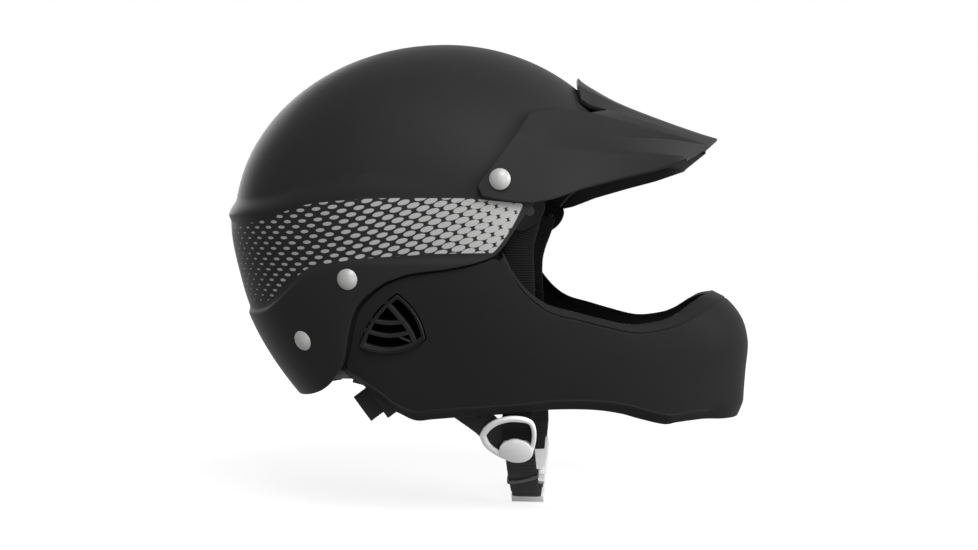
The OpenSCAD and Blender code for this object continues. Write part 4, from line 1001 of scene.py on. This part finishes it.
def make_visor():
    """A net of eight points along each line, with folds along some lines; the centre scoop's
    rear edge is open, so some lines lack their first cells."""
    lines = visor_lines()
    first_cell = [0, 0, 0, 0, 0, 0, 4, 2, 2]
    folds = {1: 0.25, 2: 0.94, 3: 0.92, 4: 0.9, 5: 0.7, 6: 0.92, 7: 0.94, 8: 0.6}
    bm = bmesh.new()
    crease_layer = bm.edges.layers.float.new("crease_edge")
    spot = {}
    for v, i, j in grid_of(bm, len(lines) - 1, len(lines[0]) - 1):
        spot[v] = (i, j)
        v.co = Vector(lines[i][j]) * MM
    for e in bm.edges:
        i0, i1 = (spot[v][0] for v in e.verts)
        if i0 == i1 and i0 in folds:
            e[crease_layer] = folds[i0]
    doomed = [f for f in bm.faces
              if min(spot[v][1] for v in f.verts) < first_cell[min(spot[v][0] for v in f.verts)]]
    bmesh.ops.delete(bm, geom=doomed, context="FACES")
    mirror_half(bm)
    turn_out(bm)
    if sum(f.normal.z * f.calc_area() for f in bm.faces) < 0:
        bmesh.ops.reverse_faces(bm, faces=bm.faces)
    visor = finish_piece("peak_visor", bm, VISOR_FINISH, "visor")
    wall = visor.modifiers.new("wall", "SOLIDIFY")
    wall.thickness, wall.offset, wall.use_even_offset = VISOR_WALL * MM, -1, True
    wall.edge_crease_outer = wall.edge_crease_inner = wall.edge_crease_rim = 0.85
    round_off = visor.modifiers.new("round", "SUBSURF")
    round_off.levels = round_off.render_levels = 4
    settle(visor)
    smooth(visor.data, sharp=42)
    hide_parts("visor")


make_visor()


# Webbing

WEB_W, WEB_T, RING_T = 20.0, 1.8, 3.0


def strap(name, path, wide, width, thick, body, node=None, material=WEBBING_FINISH,
          pitch=1.6, rib=0.14):
    """Webbing along a path, with ribs across it. A list of two cross directions, or a pair of
    widths, is for its start and for the rest."""
    length = sum((Vector(b) - Vector(a)).length for a, b in zip(path, path[1:]))
    rows, around = int(length / (pitch / 5)), 16
    line = [Vector(p) for p in even(curve([tuple(p) for p in path], 10), rows, (1, 1, 1))]
    first, last = (Vector(w) for w in (wide if isinstance(wide, list) else [wide, wide]))
    narrow, broad = width if isinstance(width, tuple) else (width, width)
    walk, frames = [0.0], []
    for a, b in zip(line, line[1:]):
        walk.append(walk[-1] + (b - a).length)
    for i in range(rows + 1):
        way = (line[min(i + 1, rows)] - line[max(i - 1, 0)]).normalized()
        cross = first.lerp(last, ease(2.5 * i / rows))
        across = (cross - cross.dot(way) * way).normalized()
        frames.append((across, way.cross(across)))

    def section(i, k):
        """Across and out of a strap, from -1 to 1, and half its width."""
        c, s = spoke(k, around)
        return power(c, 0.35), power(s, 0.8), mix(narrow, broad, ease(7 * i / rows)) / 2

    def place(i, k):
        u, h, half = section(i, k)
        across, out = frames[i]
        wave = math.cos(2 * math.pi * walk[i] / pitch)
        high = thick / 2 * (1 + rib / thick * wave) * (0.35 if i in (0, rows) else 1)
        return line[i] + across * (u * half * (1 - 0.012 * wave)) + out * (h * high)
    bm = bmesh.new()
    weave_layer = bm.verts.layers.float_vector.new("weave")

    def mark(v, i, k):
        u, h, half = section(i, k)
        v[weave_layer] = Vector((u * half + (0 if h > 0 else 40), walk[i], 0))
    tube(bm, rows, around, place, mark=mark)
    close_up(bm)
    piece = finish_piece(name, bm, material, body, sharp=70)
    if node:
        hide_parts(node)


def make_keeper():
    """The grey elastic band round both layers of the lower leg."""
    middle, half_w, half_t = keeper_at + 0.85 * keeper_out, WEB_W / 2 + 0.75, 2.6
    count, around, slant, sag = 96, 14, 0.45, 1.6

    def band_point(i, k):
        (ca, sa), (cb, sb) = spoke(i, count, 0), spoke(k, around)
        thick = 0.55 * power(cb, 0.7)
        wide, deep = power(ca, 0.22) * (half_w + thick), power(sa, 0.22) * (half_t + thick)
        drop = 2.0 * power(sb, 0.5) - slant * wide + sag * (1 - (wide / half_w) ** 2)
        return middle + Vector((wide, 0, 0)) + deep * keeper_out + keeper_dir * drop
    bm = bmesh.new()
    tube(bm, count, around, band_point, loop=True)
    weave_layer = bm.verts.layers.float_vector.new("weave")
    for v in bm.verts:
        p = v.co / MM - middle
        v[weave_layer] = Vector((p.x, p.dot(keeper_dir) + slant * p.x, 0))
    close_up(bm)
    keeper = finish_piece("elastic_keeper", bm, ELASTIC_FINISH, "keeper", sharp=60)
    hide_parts("strap_keeper")


def flip(path):
    return [(x, -y, z) for x, y, z in path]


# Each ring's side, its middle as on the left and the lean of its plane. The right ring hangs lower
# and leans more.
RING_RIGHT = (-1, (89.3, 59, -133.3), math.radians(41))
RING_LEFT = (1, (89.3, 64, -108), math.radians(10))


def on_ring(ring, x, y, out):
    """A point given on a strap ring, as on the left: forward, up along the ring and outward."""
    _, middle, tilt = ring
    return Vector((middle[0] + x, middle[1] + y * math.sin(tilt) + out * math.cos(tilt),
                   middle[2] + y * math.cos(tilt) - out * math.sin(tilt)))


def front_end(ring):
    """The front strap's end, down behind the ring's upper side."""
    return [on_ring(ring, *p) for p in ((2.2, 27, -4.2), (2.2, 20, -4.2), (2.2, 16, -4.2),
                                        (2.0, 12.5, -3.0), (2.0, 8.6, -2.2))]


def rear_way(ring, bend):
    """From behind the ring's cap, under its rear corner and up inside the guard to the cradle."""
    start = ((-9.6, -2), (-11.8, 5.5), (-15, 13.5), (-19.8, 22))
    return ([on_ring(ring, x, y, -4.3) for x, y in start] + bend
            + [(25, 80.8, -88.5), (0, 80.3, -82), (-15, 78.4, -78.5)])


front_right = [(99, 82.2, 27), (96.5, 83, 16), (93.6, 84.4, 2), (94, 83.6, -24), (94.5, 80, -60),
               (94, 75, -88), (93, 70.5, -100)] + front_end(RING_RIGHT)
front_left = [(95, 82.4, 26), (91, 83.6, 15), (86.6, 84.6, 3), (84.5, 84.4, -8), (84.6, 83.6, -24),
              (87, 80.5, -55), (90.5, 73.5, -74)] + front_end(RING_LEFT)
rear_right = ([on_ring(RING_RIGHT, -7.8, -8.5, -4.3)]
              + rear_way(RING_RIGHT, [(58, 72.5, -105), (45, 77.2, -96)]))
rear_left = rear_way(RING_LEFT, [(55, 72.5, -91), (42, 77.5, -90.5)])
for side_name, way, front, rear, cross in (
        ("right", flip, front_right, rear_right, (0.83, -0.36, 0.42)),
        ("left", list, front_left, rear_left, (0.83, 0.1, 0.54))):
    strap("front_webbing_" + side_name, way(front), (1, 0, 0), WEB_W, WEB_T, "helmet",
          "front_strap_" + side_name, SHADED_FRONT_WEBBING_FINISH)
    strap("rear_webbing_" + side_name, way(rear), [cross, (0.5, 0, 0.8)], (11, 17.5), WEB_T,
          "helmet", "rear_strap_" + side_name)

BUCKLE_X, BUCKLE_TURN = 91.0, math.radians(38.7)
BUCKLE_DIR = Vector((0, math.cos(BUCKLE_TURN), math.sin(BUCKLE_TURN)))
BUCKLE_UP = Vector((0, -math.sin(BUCKLE_TURN), math.cos(BUCKLE_TURN)))


def at_buckle(s, k):
    """A point on the buckle: along it from its lower end and out of its flat."""
    return Vector((BUCKLE_X, 1, -175)) + s * BUCKLE_DIR + k * BUCKLE_UP


def behind_ring(ring):
    """A ring's outward and upward directions, and the chin strap's place behind it."""
    side, middle, tilt = ring
    out = Vector((0, side * math.cos(tilt), -math.sin(tilt)))
    up = Vector((0, side * math.sin(tilt), math.cos(tilt)))
    patch = Vector((BUCKLE_X, side * middle[1], middle[2])) - (RING_T + 2.2 + WEB_T / 2) * out
    return out, up, patch


right_out, right_up, right_patch = behind_ring(RING_RIGHT)
left_out, left_up, left_patch = behind_ring(RING_LEFT)
# The left leg swings about an axis that leans from its ring, so it keeps off the rear strap.
clear = 1.5 * left_out
keeper_at = Vector((BUCKLE_X, -30, -154))
keeper_dir, keeper_out = Vector((0, 0.8, -0.6)), Vector((0, -0.6, -0.8))
leg_right = [right_patch + 9 * right_up, right_patch, right_patch - 8 * right_up,
             keeper_at - 7.5 * keeper_dir, keeper_at, keeper_at + 15 * keeper_dir]
leg_right += [Vector((BUCKLE_X, y, z)) for y, z in ((-10.6, -168.5), (-6.4, -171.4), (-3.4, -172.3),
                                                    (-0.8, -171.3))]
leg_right += [at_buckle(4, 4), at_buckle(8, 3.8), at_buckle(10.7, 1.8), at_buckle(11, -1)]
leg_left = [at_buckle(s, 0) for s in (46, 60, 74, 77)]
leg_left += [Vector((BUCKLE_X, 60.3, -123)), Vector((BUCKLE_X, 57.6, -118.6)),
             left_patch - 9 * left_up, left_patch - clear, left_patch + 9 * left_up - clear]
strap("chin_webbing_right", leg_right, (1, 0, 0), WEB_W, WEB_T, "chin_strap", "chin_strap_right")
strap("chin_webbing_left", leg_left, (1, 0, 0), WEB_W, WEB_T, "chin_strap", "chin_strap_left")
fold = [at_buckle(s, k) for s, k in ((57, 0.4), (57.6, 3.4), (56, 5.0), (52, 5.1), (47, 5.0),
                                     (44.6, 4.5), (43.6, 3.4))]
strap("buckle_webbing_fold", fold, (1, 0, 0), WEB_W - 1, 1.4, "buckle_female")

tail_top = right_patch - 12.5 * right_up + 0.6 * right_out
tail = [tail_top + 1.7 * right_out] + [keeper_at + k * keeper_dir + 1.75 * keeper_out
                                       for k in (-8, 0, 12, 20)]
strap("chin_webbing_tail", tail, (1, 0, 0), WEB_W, 1.6, "chin_strap")
make_keeper()

nape_end, nape_dir = Vector((-11.5, 73.4, -105)), Vector((0.8, 0.02, 0.6))
nape = [nape_end + k * nape_dir for k in (0, 8, 16, 24, 30)]
for side_name, way in (("left", list), ("right", flip)):
    strap("nape_webbing_" + side_name, way([tuple(p) for p in nape]), (0.6, 0, -0.8), WEB_W, 4.0,
          "helmet", "nape_web_" + side_name, rib=0.3, pitch=1.7)


# Moulded trim and hardware

TAB_T = 2.2
TAB_LINE = [(84, 53), (91, 51), (98, 42.5), (107, 34), (110.6, 29.5), (109.3, 23), (104.6, 17),
            (97.5, 13), (91, 13.5), (87, 19), (83, 29), (77.5, 38), (76, 45), (78.6, 51), (84, 53)]
RING_LINE = [(-21.4, 13.6), (-17.8, 20.2), (-11.3, 26.4), (-2.4, 29.8), (6.5, 29.4), (11.2, 26.6),
             (12.7, 21.5), (12.7, 13.5), (11.4, 5), (8.2, -4.6), (2.4, -8.6), (-5, -8.8),
             (-14, -2.6), (-19.4, 5), (-21.4, 13.6)]
# The visor post and the front strap's own screw, as (x, z).
POST_AT, SCREW_AT = (84, 45), (104, 25.5)


def make_anchor(side, side_name):
    """The front strap's tab behind the shell's edge, from the visor post to its own screw."""
    post, tip = (dome_inside(dome_turn(x, z), z, depth)
                 for (x, z), depth in ((POST_AT, 7.0), (SCREW_AT, 7.5)))
    way = (tip - post).normalized()
    out = way.cross(Vector((0, 1, 0))).cross(way).normalized()
    bm = bmesh.new()
    rim = even(curve(TAB_LINE, 8), 72, (1, 1))[:-1]
    disc(bm, [Vector((x, tip.y - (out.x * (x - tip.x) + out.z * (z - tip.z)) / out.y, z))
              - TAB_T * out for x, z in rim])
    face = extrude(bm, TAB_T * out)
    bmesh.ops.inset_region(bm, faces=face, thickness=1.6 * MM, depth=-0.5 * MM)
    turn_out(bm)
    bevel(bm, [e for e in bm.edges if e.calc_face_angle(0) > 0.5], 0.3 * MM)
    for v in bm.verts:
        v.co.y *= side
    turn_out(bm)
    tab = finish_piece("anchor_tab_" + side_name, bm, TAB_FINISH, "helmet", sharp=40)
    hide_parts("strap_anchor_" + side_name)


def make_ring(ring, side_name):
    """A strap ring: a rounded triangle of smooth round-edged bar and the hub under its cap."""
    count, around = 180, 20
    line = [Vector(p) for p in even(curve(RING_LINE, 10), count, (1, 1))]

    def place(x, y, out):
        p = on_ring(ring, x, y, out)
        return Vector((p.x, ring[0] * p.y, p.z))

    def bar_point(i, k):
        a, b = line[i - 1 if i else count - 1], line[i + 1]
        across = Vector((a.y - b.y, b.x - a.x)).normalized()
        c, h = spoke(k, around)
        p = line[i] + across * (power(c, 0.75) * mix(1.5, 2.25, ease((12 - line[i].x) / 8)))
        return place(p.x, p.y, RING_T / 2 * (power(h, 0.75) - 1))
    bm = bmesh.new()
    tube(bm, count, around, bar_point, loop=True)
    hub = bmesh.ops.create_cone(bm, segments=72, radius1=10.4, radius2=10.4, depth=2.9,
                                cap_ends=True)["verts"]
    edges = [e for e in bm.edges if e.verts[0] in set(hub) and e.calc_face_angle(0) > 1]
    rounded = bevel(bm, edges, 0.5, clamp_overlap=False)
    for v in set(rounded) | {v for v in hub if v.is_valid}:
        v.co = place(v.co.x, v.co.y, v.co.z - RING_T / 2) * MM
    turn_out(bm)
    piece = finish_piece("strap_ring_frame_" + side_name, bm, WHITE_FINISH, "helmet", sharp=50)
    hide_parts("strap_ring_" + side_name)


make_ring(RING_RIGHT, "right")
make_ring(RING_LEFT, "left")
for node, name, radius, body in (
        ("ring_cap_left", "ring_button_left", 0.3, "helmet"),
        ("ring_cap_right", "ring_button_right", 0.3, "helmet"),
        ("buckle_female", "buckle_case", 0.5, "buckle_female"),
        ("buckle_male", "buckle_clip", 0.6, "chin_strap"),
        ("prong_front", "buckle_prong_front", 0.4, "prong_front"),
        ("prong_rear", "buckle_prong_rear", 0.4, "prong_rear")):
    softened(node, name, radius, WHITE_FINISH, body)
for side, side_name in SIDES:
    make_anchor(side, side_name)
for _, side_name in SIDES:
    softened("cradle_anchor_" + side_name, "cradle_clip_" + side_name, 0.4, GREY_FINISH, "helmet")
    softened("nape_slider_" + side_name, "nape_buckle_" + side_name, 0.5, SLIDER_FINISH, "helmet")
softened("cradle", "nape_cradle", 0.6, TRIM_FINISH, "cradle")

for node, finish in (("visor_posts", CAP_FINISH), ("guard_posts", CAP_FINISH),
                     ("post_screws", STEEL_FINISH), ("post_washers", STEEL_FINISH),
                     ("ring_pins", STEEL_FINISH), ("cradle_pins", STEEL_FINISH),
                     ("anchor_screws", DARK_SCREW_FINISH)):
    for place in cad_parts[node].material_slots:
        place.material = finish


# Foam liner

LINER_OFF, LINER_T = WALL + 0.9, 12.0
POCKET_DEPTH, CHANNEL_DEPTH = 7.2, 2.8
CHANNEL_TURNS = (0, 48, 130, 180)


def tab_pocket(x, z):
    """1 where the liner is sunk for the front strap's tab, 0 away from it."""
    post, screw = (Vector((x0, 0, z0)) for x0, z0 in (POST_AT, SCREW_AT))
    way, off = screw - post, Vector((x, 0, z)) - post
    t = clamp(off.dot(way) / way.dot(way))
    near = (off - t * way).length - mix(8, 12, t)
    return 1 - ease((near - 0.5) / 2)


def air_channel(turn, z):
    """How deep the inner face is sunk, from the brow over the crown to the nape."""
    off = min(abs(abs(turn) - a) for a in CHANNEL_TURNS)
    return CHANNEL_DEPTH * (1 - ease((off - 3) / 3)) * ease((128 - z) / 12) * ease((z - 20) / 20)


def make_liner():
    columns = []
    for turn, low in edge_columns(LINER_EDGE, 110):
        face = [mix(low + 2, 84, k / 20) for k in range(21)]
        face += to_crown(face[-1], 16)
        columns.append(((turn,), [(z, 0.0) for z in reversed(face)]
                        + rim_roll(LINER_T, low, 10, 2.0) + [(z, LINER_T) for z in face]))

    def place(_, key, z, depth):
        turn = key[0]
        outer = LINER_OFF + POCKET_DEPTH * tab_pocket(dome_point(turn, z, False)[0], z)
        inner = LINER_OFF + LINER_T - (air_channel(turn, z) if depth == LINER_T else 0)
        return dome_inside(turn, z, mix(outer, inner, depth / LINER_T), False)
    bm = bmesh.new()
    skin(bm, columns, place)
    join_halves(bm)
    liner = finish_piece("foam_liner_shell", bm, FOAM_FINISH, "helmet", sharp=60)
    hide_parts("foam_liner")


make_liner()


# Padding

# How far each pad may swell or sink, in mm.
PAD_SWELL = {"brow_pad": 1.2, "crown_pad": 0.8, "rear_pad": 1.2, "side_pad_left": 1.2,
             "side_pad_right": 1.2, "cheek_pad_left": 1.0, "cheek_pad_right": 1.0,
             "chin_pad": 1.2, "cradle_pad": 0.4}
# In metres: how far a pad starts inside its solid, and the voxels of the nets.
SHRINK, NET, FINE_NET = 0.0006, 0.004, 0.0025
LAST_MOMENT = 20


def swell(pads):
    """Blow the pads up a little with a cloth simulation."""
    for pad in pads:
        cloth = pad.modifiers.new("cloth", "CLOTH")
        cloth.settings.use_pressure = True
        cloth.settings.uniform_pressure_force = 4.0
        cloth.settings.mass = 0.15
        cloth.settings.quality = 4
        cloth.settings.effector_weights.gravity = 0
        cloth.point_cache.frame_start, cloth.point_cache.frame_end = 1, LAST_MOMENT
        cloth.collision_settings.use_collision = False
    for moment in range(1, LAST_MOMENT + 1):
        scene.frame_set(moment)
    for pad in pads:
        settle(pad)
    scene.frame_set(1)


def make_pads():
    """Padded copies of the soft solids, swollen by no more than each may."""
    pads = {}
    for node, cap in PAD_SWELL.items():
        bm = copy_of_node(node)
        turn_out(bm)
        for v in bm.verts:
            v.co -= v.normal * SHRINK
        pad = finish_piece(node.replace("pad", "cushion"), bm, PAD_FINISH,
                           "cradle" if node == "cradle_pad" else "helmet")
        net = pad.modifiers.new("net", "REMESH")
        net.mode, net.use_smooth_shade = "VOXEL", True
        net.voxel_size = FINE_NET if cap < 0.5 else NET
        settle(pad)
        pads[node] = pad
    starts = {node: [v.co.copy() for v in pad.data.vertices] for node, pad in pads.items()}
    swell(list(pads.values()))
    for node, pad in pads.items():
        cap = PAD_SWELL[node] / 1000
        for v, home in zip(pad.data.vertices, starts[node]):
            move = v.co - home
            if move.length > cap:
                v.co = home + move * (cap / move.length)
        even_out = pad.modifiers.new("even_out", "SMOOTH")
        even_out.factor, even_out.iterations = 0.5, 3
        soft = pad.modifiers.new("soft", "SUBSURF")
        soft.levels = soft.render_levels = 1
        settle(pad)
        smooth(pad.data)
        pad.data.materials.clear()
        pad.data.materials.append(PAD_FINISH)
        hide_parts(node)


make_pads()


# Floor, world and light

FLOOR_Z = -0.1795


def shown_white(s):
    """1 for the rays to which the backdrop is plain white: camera, glossy and transmission."""
    rays = s.node("ShaderNodeLightPath").outputs
    return s.math("MAXIMUM", rays["Is Camera Ray"], s.math(
        "MAXIMUM", rays["Is Glossy Ray"], rays["Is Transmission Ray"]))


def plain_white(name, lit, glow):
    """A pale surface that the camera and glossy rays see as white, and that keeps the shadow."""
    material = bpy.data.materials.new(name)
    material.use_nodes = True
    s = Shader(material.node_tree)
    material.node_tree.nodes.remove(material.node_tree.nodes["Principled BSDF"])
    seen = shown_white(s)
    matte = s.node("ShaderNodeBsdfDiffuse", {"Color": s.blend(seen, shade(lit), shade(0.3))})
    away = s.node("ShaderNodeVectorMath", {0: s.node("ShaderNodeTexCoord").outputs["Object"]},
                  operation="LENGTH").outputs["Value"]
    bright = s.node("ShaderNodeEmission", {
        "Color": shade(1), "Strength": s.ramp(away, 0.5, 1.4, glow, 1.0, smooth=True)})
    both = s.node("ShaderNodeAddShader", {0: matte.outputs[0], 1: bright.outputs[0]})
    mixed = s.node("ShaderNodeMixShader", {0: seen, 1: matte.outputs[0], 2: both.outputs[0]})
    s.feed(material.node_tree.nodes["Material Output"].inputs["Surface"], mixed.outputs[0])
    return material


def set_stage():
    bm = bmesh.new()
    bmesh.ops.create_grid(bm, x_segments=1, y_segments=1, size=6)
    bmesh.ops.translate(bm, verts=bm.verts, vec=(0, 0, FLOOR_Z))
    floor = add_object("floor", mesh_of(bm, "floor"))
    floor.data.materials.append(plain_white("pale_floor", 0.28, 0.8))
    world = bpy.data.worlds.new("studio")
    world.use_nodes = True
    scene.world = world
    s = Shader(world.node_tree)
    back = world.node_tree.nodes["Background"]
    s.feed(back.inputs["Color"], s.blend(shown_white(s), shade(0.24), shade(1)))
    back.inputs["Strength"].default_value = 1.0


def soft_lamp(name, place, aim, size, power_w):
    data = bpy.data.lights.new(name, "AREA")
    data.shape, data.size, data.size_y, data.energy = "RECTANGLE", size[0], size[1], power_w
    lamp = add_object(name, data)
    lamp.location = place
    lamp.rotation_euler = (Vector(aim) - Vector(place)).to_track_quat("-Z", "Y").to_euler()


set_stage()
soft_lamp("overhead_box", (0.5, -1.1, 1.15), (0.05, 0, 0.03), (1.0, 0.9), 24)
soft_lamp("front_box", (1.6, -0.35, 0.3), (0.1, 0, 0), (0.8, 0.8), 24)
soft_lamp("rear_box", (-1.0, 1.3, 0.5), (0, 0, 0), (1.1, 0.9), 11)
soft_lamp("low_box", (0.5, -0.9, -0.16), (0.09, 0, -0.16), (0.5, 0.03), 2.2)
scene.view_settings.view_transform = "Standard"
